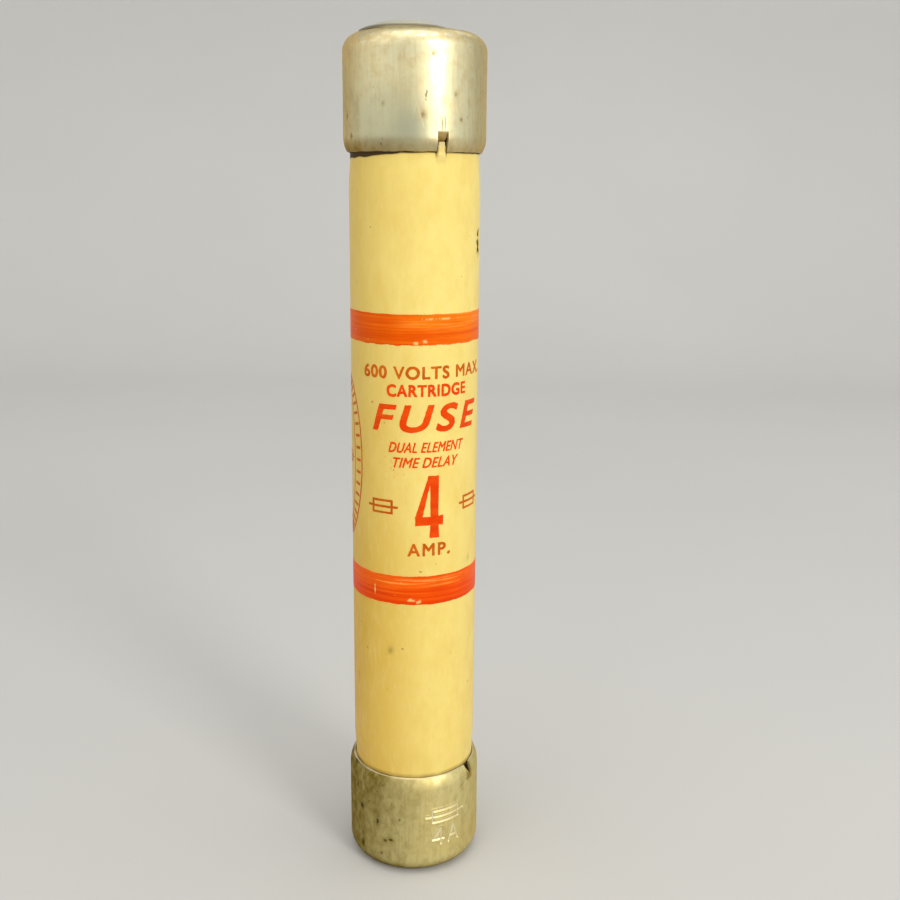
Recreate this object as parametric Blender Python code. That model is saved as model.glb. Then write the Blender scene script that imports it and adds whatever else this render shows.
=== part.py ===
"""Dual-element cartridge fuse, 600 V class, 4 A, standing on its lower ferrule.

Frame: metres, +Z up along the fuse, origin at the middle of the lower end face.
The printed side of the tube faces -Y. Heights are measured from the lower end face.

Current path, from the bottom: lower ferrule, solder plug, lower link, eyelet, heater coil,
heat absorber, fusible alloy, trigger plunger, contact sleeve, upper link, solder button,
upper ferrule. When the alloy melts, the spring draws the plunger up out of the absorber.
"""

import math

import bmesh
import bpy
from mathutils import Matrix, Vector

MM = 0.001

# Driving dimensions
FUSE_LENGTH = 127.0 * MM  # from end face to end face
FERRULE_RADIUS = 10.3 * MM
FERRULE_LENGTH = 16.4 * MM
FERRULE_WALL = 0.65 * MM
FERRULE_CORNER = 2.6 * MM
TUBE_RADIUS = 9.55 * MM
TUBE_BORE = 7.0 * MM
END_HOLE_RADIUS = 2.5 * MM
TRIGGER_TRAVEL = 6.0 * MM

CLEARANCE = 0.3 * MM  # between neighbouring pieces

# Ferrules
CRIMP_RADIUS = 9.5 * MM  # inside the rolled-in rim
CRIMP_LENGTH = 2.0 * MM
CRIMP_PULL = 0.65 * MM  # how far the rim's outside is rolled in
CRIMP_STEPS = 4
RIM_LIP = 0.1 * MM  # the rim's rounded end
NOTCH_WIDTH = 1.6 * MM
NOTCH_HEIGHT = 2.7 * MM
UPPER_NOTCH_TURN = math.radians(24)  # from the front, -Y, towards +X
LOWER_NOTCH_TURN = math.radians(60)

# Tube
NECK_RADIUS = 9.35 * MM  # where the tube is inside a ferrule
NECK_LENGTH = 15.0 * MM
NECK_BLEND = 4.0 * MM
TUBE_END = 2.05 * MM  # the tube's lower end, above the lower end face
POCKET_DEPTH = 1.05 * MM  # the staked tongues' pockets, below the neck's surface

# Everything that fills the bore is this wide
FILL_RADIUS = TUBE_BORE - CLEARANCE

# Discs at each end, measured from that end face
END_WASHER_START = 0.95 * MM
END_WASHER_THICKNESS = 0.8 * MM
END_WASHER_RADIUS = 8.3 * MM
SEAL_THICKNESS = 0.6 * MM

# Barrier discs and the open chamber between them
BARRIER_START = 41.0 * MM
BARRIER_THICKNESS = 1.5 * MM
LINER_WALL = 0.6 * MM

# Links
LINK_WIDTH = 3.0 * MM
LINK_THICKNESS = 0.3 * MM
LINK_START = 1.0 * MM
LINK_NECKS = 5
LINK_NECK_RADIUS = 1.0 * MM

# Overload element, heights from the lower end face
SHANK_RADIUS = 1.2 * MM
EYELET_FLANGE = 2.2 * MM
EYELET_TOP = 43.5 * MM
HEATER_CORE_RADIUS = 1.7 * MM
HEATER_TOP = 56.7 * MM
HEATER_WIRE = 0.45 * MM
HEATER_COIL_RADIUS = 2.25 * MM
HEATER_TURNS = 11
ABSORBER_RADIUS = 3.4 * MM
ABSORBER_BORE = 2.1 * MM
ABSORBER_FLOOR = 59.0 * MM
ABSORBER_TOP = 63.0 * MM
ALLOY_BORE = 1.2 * MM
SEAT_THICKNESS = 0.6 * MM
SPRING_WIRE = 0.5 * MM
SPRING_RADIUS = 2.2 * MM
SPRING_TURNS = 5
SPRING_TOP = 71.2 * MM
COLLAR_RADIUS = 2.8 * MM
COLLAR_THICKNESS = 1.0 * MM
COLLAR_PLAY = 0.2 * MM  # between the collar and the plunger's shoulders, above and below
PLUNGER_RADIUS = 0.9 * MM
SHOULDER_RADIUS = 1.3 * MM
SHOULDER_HEIGHT = 0.4 * MM
PLUNGER_TOP = 82.0 * MM
SLEEVE_RADIUS = 1.8 * MM
SLEEVE_BORE = 1.2 * MM
SLEEVE_TOP = 89.2 * MM

# Solder
BUTTON_RADIUS = 7.0 * MM
BUTTON_RISE = 1.6 * MM
BUTTON_EDGE = 0.2 * MM  # the dome's thickness at its rim
BUTTON_OFFSET = -1.2 * MM  # the solder ran a little to one side
BUTTON_LIFT = 0.15 * MM
PLUG_RADIUS = END_HOLE_RADIUS - CLEARANCE

# Facets of the round pieces
WIDE_STEPS = 48
SMALL_STEPS = 24
WIRE_SIDES = 6
TURN_POINTS = 16  # along one turn of a coil

MATERIALS = {
    "nickel": ((0.72, 0.68, 0.62), 0.35, 1.0),
    "fibre": ((0.86, 0.72, 0.36), 0.5, 0.0),
    "solder": ((0.78, 0.79, 0.82), 0.25, 1.0),
    "vulcanised_fibre": ((0.42, 0.14, 0.10), 0.7, 0.0),
    "paper": ((0.78, 0.72, 0.60), 0.9, 0.0),
    "sand": ((0.80, 0.76, 0.68), 0.95, 0.0),
    "copper": ((0.80, 0.45, 0.32), 0.35, 1.0),
    "brass": ((0.80, 0.62, 0.30), 0.35, 1.0),
    "ceramic": ((0.90, 0.89, 0.86), 0.5, 0.0),
    "resistance_wire": ((0.45, 0.43, 0.42), 0.4, 1.0),
    "spring_steel": ((0.55, 0.56, 0.58), 0.3, 1.0),
}


def clear_scene():
    for obj in list(bpy.data.objects):
        bpy.data.objects.remove(obj, do_unlink=True)


def material(name):
    """The Principled material of that name, made once."""
    found = bpy.data.materials.get(name)
    if found:
        return found
    colour, roughness, metallic = MATERIALS[name]
    made = bpy.data.materials.new(name)
    made.use_nodes = True
    shader = made.node_tree.nodes["Principled BSDF"]
    shader.inputs["Base Color"].default_value = (*colour, 1.0)
    shader.inputs["Roughness"].default_value = roughness
    shader.inputs["Metallic"].default_value = metallic
    return made


def object_from(bm, name, finish=None):
    """An object from a bmesh, with its faces turned outwards and its round faces smooth."""
    bmesh.ops.remove_doubles(bm, verts=bm.verts, dist=1e-7)
    bmesh.ops.recalc_face_normals(bm, faces=bm.faces)
    mesh = bpy.data.meshes.new(name)
    bm.to_mesh(mesh)
    bm.free()
    mesh.shade_smooth()
    mesh.set_sharp_from_angle(angle=math.radians(35))
    obj = bpy.data.objects.new(name, mesh)
    bpy.context.scene.collection.objects.link(obj)
    if finish:
        mesh.materials.append(material(finish))
    return obj


def turned(name, outline, finish=None, steps=WIDE_STEPS, closed=True):
    """A turned piece: (radius, height) points spun about Z. An open outline starts and ends on the axis."""
    bm = bmesh.new()
    verts = [bm.verts.new((radius, 0, height)) for radius, height in outline]
    edges = [bm.edges.new(pair) for pair in zip(verts, verts[1:])]
    if closed:
        edges.append(bm.edges.new((verts[-1], verts[0])))
    bmesh.ops.spin(
        bm,
        geom=verts + edges,
        cent=(0, 0, 0),
        axis=(0, 0, 1),
        angle=math.tau,
        steps=steps,
        use_merge=True,
    )
    return object_from(bm, name, finish)


def arc(centre, radius, start, end, count):
    """Points on an arc in the outline's plane; the angles are in degrees from the radius axis."""
    points = []
    for index in range(count + 1):
        angle = math.radians(start + (end - start) * index / count)
        points.append(
            (centre[0] + radius * math.cos(angle), centre[1] + radius * math.sin(angle))
        )
    return points


def box(name, size, centre, turn=0.0):
    """A box whose own centre is at centre, then turned about the fuse's axis. Turn 0 faces -Y."""
    bm = bmesh.new()
    bmesh.ops.create_cube(bm, size=1)
    bmesh.ops.scale(bm, vec=size, verts=bm.verts)
    bmesh.ops.translate(bm, vec=centre, verts=bm.verts)
    bmesh.ops.rotate(
        bm, cent=(0, 0, 0), matrix=Matrix.Rotation(turn, 3, "Z"), verts=bm.verts
    )
    return object_from(bm, name)


def helper(obj):
    obj.hide_render = True
    obj.display_type = "WIRE"
    return obj


def boolean(obj, other, operation):
    modifier = obj.modifiers.new(other.name, "BOOLEAN")
    modifier.operation = operation
    modifier.solver = "EXACT"
    modifier.object = helper(other)


def from_end(distance, upper):
    """The height of a point at this distance from the lower or the upper end face."""
    return FUSE_LENGTH - distance if upper else distance


def facing(outline, upper):
    """The same outline, counted from the lower or the upper end face."""
    return [(radius, from_end(height, upper)) for radius, height in outline]


# --- casing ---------------------------------------------------------------------------------


def ferrule_outline():
    """Drawn cap: flat end with a hole, round corner, straight barrel, rim rolled in on the tube."""
    corner_radius = FERRULE_RADIUS - FERRULE_CORNER
    inner_corner = FERRULE_CORNER - FERRULE_WALL
    inside = FERRULE_RADIUS - FERRULE_WALL
    outside = arc((corner_radius, FERRULE_CORNER), FERRULE_CORNER, -90, 0, 6)
    inside_corner = arc((corner_radius, FERRULE_CORNER), inner_corner, 0, -90, 4)
    rolled = []
    for index in range(CRIMP_STEPS + 1):
        share = index / CRIMP_STEPS
        up = FERRULE_LENGTH - RIM_LIP - (CRIMP_LENGTH - RIM_LIP) * (1 - share)
        rolled.append((FERRULE_RADIUS - CRIMP_PULL * share**2, up))
    rim = [
        (CRIMP_RADIUS + RIM_LIP / 2, FERRULE_LENGTH),
        (CRIMP_RADIUS, FERRULE_LENGTH - RIM_LIP),
        (CRIMP_RADIUS, FERRULE_LENGTH - CRIMP_LENGTH / 4),
        (inside, FERRULE_LENGTH - CRIMP_LENGTH * 0.8),
    ]
    return (
        [(END_HOLE_RADIUS, FERRULE_WALL), (END_HOLE_RADIUS, 0)]
        + outside
        + rolled
        + rim
        + inside_corner
    )


def tongue(name, turn, upper):
    """The staked tongue: a strip of the wall left at the notch's blind end and pushed into the tube."""
    rim = FERRULE_LENGTH
    wall_middle = FERRULE_RADIUS - FERRULE_WALL / 2
    thickness = 0.35 * MM
    root = NOTCH_HEIGHT + 0.5 * MM  # from the rim to where it joins the wall
    bend = NOTCH_HEIGHT - 0.1 * MM
    tip = 1.2 * MM
    tip_radius = NECK_RADIUS - POCKET_DEPTH + CLEARANCE + thickness
    outer, inner = wall_middle + thickness / 2, wall_middle - thickness / 2
    section = (
        (outer, rim - root),
        (outer, rim - bend),
        (tip_radius + thickness / 2, rim - tip),
        (tip_radius - thickness / 2, rim - tip - thickness),
        (inner, rim - bend - thickness),
        (inner, rim - root),
    )
    half = NOTCH_WIDTH / 2 - CLEARANCE / 2
    bm = bmesh.new()
    verts = [
        bm.verts.new((-half, -radius, from_end(height, upper))) for radius, height in section
    ]
    face = bm.faces.new(verts)
    grown = bmesh.ops.extrude_face_region(bm, geom=[face])
    moved = [item for item in grown["geom"] if isinstance(item, bmesh.types.BMVert)]
    bmesh.ops.translate(bm, vec=(2 * half, 0, 0), verts=moved)
    bmesh.ops.rotate(
        bm, cent=(0, 0, 0), matrix=Matrix.Rotation(turn, 3, "Z"), verts=bm.verts
    )
    return object_from(bm, name)


def ferrule(name, notch_turn, upper):
    cap = turned(name, facing(ferrule_outline(), upper), "nickel")
    past = 0.5 * MM  # how far the notch's cutter runs past the rim
    notch_middle = from_end(FERRULE_LENGTH - (NOTCH_HEIGHT - past) / 2, upper)
    for side in (0, 1):
        turn = notch_turn + side * math.pi
        notch = box(
            f"{name}_notch_{side}",
            (NOTCH_WIDTH, 3 * FERRULE_WALL, NOTCH_HEIGHT + past),
            (0, FERRULE_WALL / 2 - FERRULE_RADIUS, notch_middle),
            turn,
        )
        boolean(cap, notch, "DIFFERENCE")
        boolean(cap, tongue(f"{name}_tongue_{side}", turn, upper), "UNION")
    return cap


def fibre_tube():
    """Laminated fibre tube, necked under each ferrule, with a pocket under each staked tongue."""
    chamfer = CLEARANCE
    half = [
        (TUBE_BORE, TUBE_END),
        (NECK_RADIUS - chamfer, TUBE_END),
        (NECK_RADIUS, TUBE_END + chamfer),
    ]
    blend_steps = 4
    for index in range(blend_steps + 1):
        share = index / blend_steps
        ease = share * share * (3 - 2 * share)
        radius = NECK_RADIUS + (TUBE_RADIUS - NECK_RADIUS) * ease
        half.append((radius, TUBE_END + NECK_LENGTH + NECK_BLEND * share))
    outline = half + facing(reversed(half), upper=True)
    tube = turned("fibre_tube", outline, "fibre")
    pocket_height = 2.1 * MM
    pocket_middle = FERRULE_LENGTH - 0.75 * MM - pocket_height / 2
    for end, upper, first_turn in (
        ("lower", False, LOWER_NOTCH_TURN),
        ("upper", True, UPPER_NOTCH_TURN),
    ):
        for side in (0, 1):
            pocket = box(
                f"{end}_pocket_{side}",
                (NOTCH_WIDTH + CLEARANCE, 2 * POCKET_DEPTH, pocket_height),
                (0, -NECK_RADIUS, from_end(pocket_middle, upper)),
                first_turn + side * math.pi,
            )
            boolean(tube, pocket, "DIFFERENCE")
    return tube


def solder_button():
    """Solder run over the upper end hole: a low dome, off centre, with a stem in the hole."""
    base = FUSE_LENGTH + BUTTON_LIFT
    outline = [(0, base), (BUTTON_RADIUS, base)]
    dome_steps = 6
    for index in range(dome_steps + 1):
        reach = 1 - index / dome_steps
        height = BUTTON_EDGE + (BUTTON_RISE - BUTTON_EDGE) * (1 - reach ** 2)
        outline.append((BUTTON_RADIUS * reach, base + height))
    dome = turned("solder_button", outline, "solder", closed=False)
    dome.data.transform(Matrix.Translation((BUTTON_OFFSET, 0, 0)))
    stem = disc("solder_stem", PLUG_RADIUS, FUSE_LENGTH - FERRULE_WALL, base + BUTTON_EDGE)
    boolean(dome, stem, "UNION")
    return dome


def solder_plug():
    """Solder filling the lower end hole, just inside the end face."""
    low, high, bevel = 0.05 * MM, 0.7 * MM, 0.1 * MM
    outline = [
        (0, low),
        (PLUG_RADIUS - bevel, low),
        (PLUG_RADIUS, low + bevel),
        (PLUG_RADIUS, high - bevel),
        (PLUG_RADIUS - bevel, high),
        (0, high),
    ]
    return turned("solder_plug", outline, "solder", steps=SMALL_STEPS, closed=False)


# --- filling --------------------------------------------------------------------------------


def disc(name, radius, low, high, finish=None, bore=0.0):
    outline = [(bore, low), (radius, low), (radius, high), (bore, high)]
    steps = WIDE_STEPS if radius > ABSORBER_RADIUS else SMALL_STEPS
    return turned(name, outline, finish, steps, closed=bore > 0)


def link_slot(name, low, high):
    """The cutter that leaves room for a link in a disc or in the sand."""
    size = (LINK_WIDTH + 2 * CLEARANCE, LINK_THICKNESS + 2 * CLEARANCE, high - low)
    return box(name, size, (0, 0, (low + high) / 2))


def slotted_disc(name, radius, start, thickness, finish, upper):
    low, high = sorted((from_end(start, upper), from_end(start + thickness, upper)))
    made = disc(name, radius, low, high, finish)
    boolean(made, link_slot(f"{name}_slot", low - MM, high + MM), "DIFFERENCE")
    return made


def sand(name, upper, pocket_radius, pocket_depth):
    """Packed quartz sand round a link, from the seal disc to the barrier disc."""
    start = TUBE_END + SEAL_THICKNESS + CLEARANCE
    end = BARRIER_START - CLEARANCE
    low, high = sorted((from_end(start, upper), from_end(end, upper)))
    packed = disc(name, FILL_RADIUS, low, high, "sand")
    boolean(packed, link_slot(f"{name}_slot", low - MM, high + MM), "DIFFERENCE")
    pocket_ends = sorted((from_end(end - pocket_depth, upper), from_end(end + MM, upper)))
    boolean(packed, disc(f"{name}_pocket", pocket_radius, *pocket_ends), "DIFFERENCE")
    return packed


def link(name, low, high):
    """Short-circuit link: a copper ribbon with a row of necks where it melts."""
    half = LINK_WIDTH / 2
    pitch = (high - low) / (LINK_NECKS + 1)
    right = [(half, low)]
    for index in range(1, LINK_NECKS + 1):
        middle = low + pitch * index
        right += arc((half, middle), LINK_NECK_RADIUS, 270, 90, 6)
    right.append((half, high))
    left = [(-across, height) for across, height in reversed(right)]
    bm = bmesh.new()
    verts = [
        bm.verts.new((across, -LINK_THICKNESS / 2, height)) for across, height in right + left
    ]
    face = bm.faces.new(verts)
    grown = bmesh.ops.extrude_face_region(bm, geom=[face])
    moved = [item for item in grown["geom"] if isinstance(item, bmesh.types.BMVert)]
    bmesh.ops.translate(bm, vec=(0, LINK_THICKNESS, 0), verts=moved)
    return object_from(bm, name, "copper")


# --- overload element -----------------------------------------------------------------------


def coil(name, low, high, radius, wire, turns, finish):
    """A round wire wound about Z between two heights, with its cut ends closed."""
    bottom = low + wire / 2
    rise = high - low - wire
    count = turns * TURN_POINTS
    pitch_slope = rise / (turns * math.tau)
    bm = bmesh.new()
    rings = []
    for index in range(count + 1):
        angle = math.tau * turns * index / count
        outward = Vector((math.cos(angle), math.sin(angle), 0))
        along = Vector((-radius * math.sin(angle), radius * math.cos(angle), pitch_slope))
        across = along.normalized().cross(outward)
        centre = outward * radius + Vector((0, 0, bottom + rise * index / count))
        ring = []
        for side in range(WIRE_SIDES):
            turn = math.tau * side / WIRE_SIDES
            offset = outward * math.cos(turn) + across * math.sin(turn)
            ring.append(bm.verts.new(centre + offset * wire / 2))
        rings.append(ring)
    for ring, following in zip(rings, rings[1:]):
        for side in range(WIRE_SIDES):
            beside = (side + 1) % WIRE_SIDES
            bm.faces.new((ring[side], ring[beside], following[beside], following[side]))
    bm.faces.new(rings[0])
    bm.faces.new(rings[-1])
    return object_from(bm, name, finish)


def lower_eyelet():
    """Riveted through the lower barrier disc, it joins the lower link to the heater."""
    flange_low = BARRIER_START + BARRIER_THICKNESS + CLEARANCE
    shank_low = BARRIER_START - 0.4 * MM
    outline = [
        (0, shank_low),
        (SHANK_RADIUS, shank_low),
        (SHANK_RADIUS, flange_low),
        (EYELET_FLANGE, flange_low),
        (EYELET_FLANGE, EYELET_TOP),
        (0, EYELET_TOP),
    ]
    return turned("lower_eyelet", outline, "brass", steps=SMALL_STEPS, closed=False)


def heater():
    core_low = EYELET_TOP + CLEARANCE
    bevel = 0.3 * MM
    outline = [
        (0, core_low),
        (HEATER_CORE_RADIUS - bevel, core_low),
        (HEATER_CORE_RADIUS, core_low + bevel),
        (HEATER_CORE_RADIUS, HEATER_TOP - bevel),
        (HEATER_CORE_RADIUS - bevel, HEATER_TOP),
        (0, HEATER_TOP),
    ]
    turned("heater_core", outline, "ceramic", steps=SMALL_STEPS, closed=False)
    coil(
        "heater_coil",
        core_low + 0.2 * MM,
        HEATER_TOP,
        HEATER_COIL_RADIUS,
        HEATER_WIRE,
        HEATER_TURNS,
        "resistance_wire",
    )


def heat_absorber():
    """Brass cup on top of the heater; the fusible alloy in it holds the plunger's tip."""
    low = HEATER_TOP + CLEARANCE
    outline = [
        (0, low),
        (ABSORBER_RADIUS, low),
        (ABSORBER_RADIUS, ABSORBER_TOP),
        (ABSORBER_BORE, ABSORBER_TOP),
        (ABSORBER_BORE, ABSORBER_FLOOR),
        (0, ABSORBER_FLOOR),
    ]
    turned("heat_absorber", outline, "brass", steps=SMALL_STEPS, closed=False)
    alloy_radius = ABSORBER_BORE - CLEARANCE
    alloy_low, alloy_high = ABSORBER_FLOOR + CLEARANCE, ABSORBER_TOP - 0.4 * MM
    disc("fusible_alloy", alloy_radius, alloy_low, alloy_high, "solder", ALLOY_BORE)


def trigger_spring():
    seat_low = ABSORBER_TOP + CLEARANCE
    seat_high = seat_low + SEAT_THICKNESS
    bore = PLUNGER_RADIUS + CLEARANCE
    disc("spring_seat_washer", ABSORBER_RADIUS, seat_low, seat_high, "brass", bore)
    coil(
        "trigger_spring",
        seat_high + CLEARANCE,
        SPRING_TOP,
        SPRING_RADIUS,
        SPRING_WIRE,
        SPRING_TURNS,
        "spring_steel",
    )


def trigger():
    """The plunger and its collar slide together along Z, from the rest stop at the bottom."""
    slide = bpy.data.objects.new("trigger_slide_axis", None)
    slide.location = (0, 0, ABSORBER_FLOOR)
    bpy.context.scene.collection.objects.link(slide)

    collar_low = SPRING_TOP + CLEARANCE
    collar_high = collar_low + COLLAR_THICKNESS
    lower_shoulder = collar_low - COLLAR_PLAY
    upper_shoulder = collar_high + COLLAR_PLAY
    neck = PLUNGER_RADIUS - 0.2 * MM
    tip = 0.3 * MM
    plunger_low = ABSORBER_FLOOR + 2 * CLEARANCE
    outline = [
        (0, plunger_low),
        (PLUNGER_RADIUS - tip, plunger_low),
        (PLUNGER_RADIUS, plunger_low + tip),
        (PLUNGER_RADIUS, lower_shoulder - SHOULDER_HEIGHT),
        (SHOULDER_RADIUS, lower_shoulder - SHOULDER_HEIGHT),
        (SHOULDER_RADIUS, lower_shoulder),
        (neck, lower_shoulder),
        (neck, upper_shoulder),
        (SHOULDER_RADIUS, upper_shoulder),
        (SHOULDER_RADIUS, upper_shoulder + SHOULDER_HEIGHT),
        (PLUNGER_RADIUS, upper_shoulder + SHOULDER_HEIGHT),
        (PLUNGER_RADIUS, PLUNGER_TOP - tip),
        (PLUNGER_RADIUS - tip, PLUNGER_TOP),
        (0, PLUNGER_TOP),
    ]
    plunger = turned("trigger_plunger", outline, "copper", steps=SMALL_STEPS, closed=False)
    bore = neck + CLEARANCE
    collar = disc("plunger_collar", COLLAR_RADIUS, collar_low, collar_high, "brass", bore)
    for piece in (plunger, collar):
        piece.parent = slide
        piece.matrix_parent_inverse = Matrix.Translation(-slide.location)


def contact_sleeve():
    """Closed brass sleeve through the upper barrier disc; the plunger slides up into it.

    At full travel the plunger's upper shoulder stops just short of the sleeve's mouth.
    """
    collar_top = SPRING_TOP + CLEARANCE + COLLAR_THICKNESS
    shoulder_top = collar_top + COLLAR_PLAY + SHOULDER_HEIGHT
    low = shoulder_top + TRIGGER_TRAVEL + CLEARANCE
    flange_high = from_end(BARRIER_START + BARRIER_THICKNESS + CLEARANCE, upper=True)
    flange_low = flange_high - 0.6 * MM
    flange_radius = SLEEVE_RADIUS + MM
    inner_top = SLEEVE_TOP - 0.7 * MM
    outline = [
        (0, inner_top),
        (SLEEVE_BORE, inner_top),
        (SLEEVE_BORE, low),
        (SLEEVE_RADIUS, low),
        (SLEEVE_RADIUS, flange_low),
        (flange_radius, flange_low),
        (flange_radius, flange_high),
        (SLEEVE_RADIUS, flange_high),
        (SLEEVE_RADIUS, SLEEVE_TOP),
        (0, SLEEVE_TOP),
    ]
    turned("contact_sleeve", outline, "brass", steps=SMALL_STEPS, closed=False)


def build():
    clear_scene()
    ferrule("lower_ferrule", LOWER_NOTCH_TURN, upper=False)
    ferrule("upper_ferrule", UPPER_NOTCH_TURN, upper=True)
    fibre_tube()
    solder_button()
    solder_plug()

    for side, upper in (("lower", False), ("upper", True)):
        slotted_disc(
            f"{side}_end_washer",
            END_WASHER_RADIUS,
            END_WASHER_START,
            END_WASHER_THICKNESS,
            "vulcanised_fibre",
            upper,
        )
        slotted_disc(f"{side}_seal_disc", FILL_RADIUS, TUBE_END, SEAL_THICKNESS, "paper", upper)

    shank_pocket = SHANK_RADIUS + CLEARANCE
    sleeve_pocket = SLEEVE_RADIUS + CLEARANCE
    sleeve_reach = SLEEVE_TOP - from_end(BARRIER_START - CLEARANCE, upper=True) + CLEARANCE
    sand("lower_sand", False, shank_pocket, 0.4 * MM)
    sand("upper_sand", True, sleeve_pocket, sleeve_reach)

    for side, upper, bore in (("lower", False, shank_pocket), ("upper", True, sleeve_pocket)):
        low, high = sorted(
            (from_end(BARRIER_START, upper), from_end(BARRIER_START + BARRIER_THICKNESS, upper))
        )
        disc(f"{side}_barrier_disc", FILL_RADIUS, low, high, "vulcanised_fibre", bore)

    chamber_low = BARRIER_START + BARRIER_THICKNESS + CLEARANCE
    disc(
        "chamber_liner",
        FILL_RADIUS,
        chamber_low,
        from_end(chamber_low, upper=True),
        "paper",
        FILL_RADIUS - LINER_WALL,
    )

    link("lower_link", LINK_START, BARRIER_START - 0.7 * MM)
    link("upper_link", SLEEVE_TOP + 0.4 * MM, from_end(LINK_START, upper=True))

    lower_eyelet()
    heater()
    heat_absorber()
    trigger_spring()
    trigger()
    contact_sleeve()


build()
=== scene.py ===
"""Looks of the cartridge fuse: worn metal ends, a varnished and printed tube, and the inside.

Frame: metres, +Z up along the fuse, origin at the middle of the lower end face. A turn is an
angle round the fuse in degrees, from the front (-Y) towards +X. An inset is a distance from
the nearer end face.
"""

import math

import bmesh
import bpy
import numpy as np
from mathutils import Matrix, Vector, noise

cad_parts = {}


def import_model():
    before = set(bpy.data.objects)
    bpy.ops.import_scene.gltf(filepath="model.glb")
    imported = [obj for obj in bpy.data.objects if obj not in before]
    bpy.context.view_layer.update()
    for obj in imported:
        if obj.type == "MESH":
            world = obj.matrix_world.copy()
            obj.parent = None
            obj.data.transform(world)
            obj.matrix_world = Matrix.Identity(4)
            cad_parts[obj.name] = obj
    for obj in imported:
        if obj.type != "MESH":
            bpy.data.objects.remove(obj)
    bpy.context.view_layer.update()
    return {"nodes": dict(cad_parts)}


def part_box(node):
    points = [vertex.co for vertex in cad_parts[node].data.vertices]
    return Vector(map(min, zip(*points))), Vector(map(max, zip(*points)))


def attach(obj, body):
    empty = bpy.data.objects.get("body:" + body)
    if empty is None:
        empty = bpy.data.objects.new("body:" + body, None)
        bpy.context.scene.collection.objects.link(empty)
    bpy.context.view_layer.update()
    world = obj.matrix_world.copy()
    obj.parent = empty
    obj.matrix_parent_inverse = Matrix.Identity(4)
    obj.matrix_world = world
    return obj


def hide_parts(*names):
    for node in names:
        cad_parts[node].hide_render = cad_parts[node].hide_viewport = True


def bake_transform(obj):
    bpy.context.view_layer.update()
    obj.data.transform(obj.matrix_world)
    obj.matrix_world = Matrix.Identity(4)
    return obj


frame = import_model()

MM = 0.001
nodes = frame["nodes"]

# Sizes that the frame gives
ferrule_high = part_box("lower_ferrule")[1]
tube_low, tube_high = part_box("fibre_tube")
FUSE_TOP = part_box("upper_ferrule")[1].z
FERRULE_RADIUS = ferrule_high.x
FERRULE_LENGTH = ferrule_high.z
TUBE_RADIUS = tube_high.x
TUBE_INSET = tube_low.z

# Ferrules
WALL = 0.65 * MM
CORNER = 2.6 * MM
HOLE_RADIUS = 2.5 * MM
CRIMP_LENGTH = 2.0 * MM
CRIMP_PULL = 0.52 * MM
RIM_INSIDE = 9.39 * MM
LIP = 0.1 * MM
NOTCH_WIDTH = 1.6 * MM
NOTCH_INSET = FERRULE_LENGTH - 2.7 * MM  # the notch's blind end
NOTCH_HALF_TURN = math.degrees(NOTCH_WIDTH / 2 / FERRULE_RADIUS)
UPPER_NOTCH = 24
LOWER_NOTCH = 60
TONGUE_REACH = 1.4 * MM
TONGUE_DROP = 1.03 * MM
TONGUE_TIP = 0.35 * MM

# Tube
NECK_RADIUS = 9.35 * MM
NECK_END = TUBE_INSET + 15.0 * MM
NECK_BLEND = 4.0 * MM
BORE = 7.0 * MM
POCKET_TURN = 5.8  # half the pocket's width
POCKET_DEPTH = 1.05 * MM

# Printing, heights from the lower end face
UPPER_BAND = (83.9 * MM, 88.3 * MM)
LOWER_BAND = (44.9 * MM, 49.35 * MM)
LABEL_MIDDLE = 2.75 * MM  # along the tube's surface, from the front
INK_PROUD = 0.025 * MM
INK_SUNK = 0.03 * MM


# --- small helpers --------------------------------------------------------------------------


def smooth(value, low, high):
    """0 below low, 1 above high, smooth between."""
    share = np.clip((np.asarray(value, float) - low) / (high - low), 0, 1)
    return share * share * (3 - 2 * share)


def flank(turn, low, high):
    """0 in front, 1 on the side of positive turns, and 0 again at the back."""
    return smooth(turn, low, high) * (1 - smooth(turn, 118, 178))


def turn_gap(turn, middle):
    """How far a turn is from another, the short way round, with its sign."""
    return (np.asarray(turn, float) - middle + 180) % 360 - 180


def hump(value, middle, width):
    """1 at the middle, falling smoothly to 0 on both sides."""
    return np.exp(-(((value - middle) / width) ** 2))


def stations(low, high, coarse, areas):
    """Positions from low to high; areas are (start, end, step) where the steps are finer."""
    edges = sorted({low, high, *(edge for area in areas for edge in area[:2])})
    found = []
    for start, end in zip(edges, edges[1:]):
        middle = (start + end) / 2
        step = min([coarse] + [area[2] for area in areas if area[0] < middle < area[1]])
        count = max(1, math.ceil((end - start) / step - 1e-6))
        found += [start + (end - start) * index / count for index in range(count)]
    return np.array(found + [high])


def ripple(turn, height, seed, waves=10, around=7, along=500):
    """A smooth random wave over the surface, about -1 to 1, that closes round the fuse."""
    draw = np.random.default_rng(seed)
    total = 0.0
    for _ in range(waves):
        lobes = draw.integers(1, around + 1)
        pace = draw.uniform(-along, along)
        phase = draw.uniform(0, math.tau)
        total = total + np.sin(lobes * np.radians(turn) + pace * height + phase)
    return total / math.sqrt(waves)


def on_fuse(turn, radius, height):
    """Points on or in the fuse, from turns in degrees."""
    angle = np.radians(turn)
    return np.stack([radius * np.sin(angle), -radius * np.cos(angle), height + 0 * angle], axis=-1)


def object_from(bm, name, finish, sharp=35):
    bmesh.ops.recalc_face_normals(bm, faces=bm.faces)
    mesh = bpy.data.meshes.new(name)
    bm.to_mesh(mesh)
    bm.free()
    mesh.shade_smooth()
    mesh.set_sharp_from_angle(angle=math.radians(sharp))
    mesh.materials.append(finish)
    obj = bpy.data.objects.new(name, mesh)
    bpy.context.scene.collection.objects.link(obj)
    return obj


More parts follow.
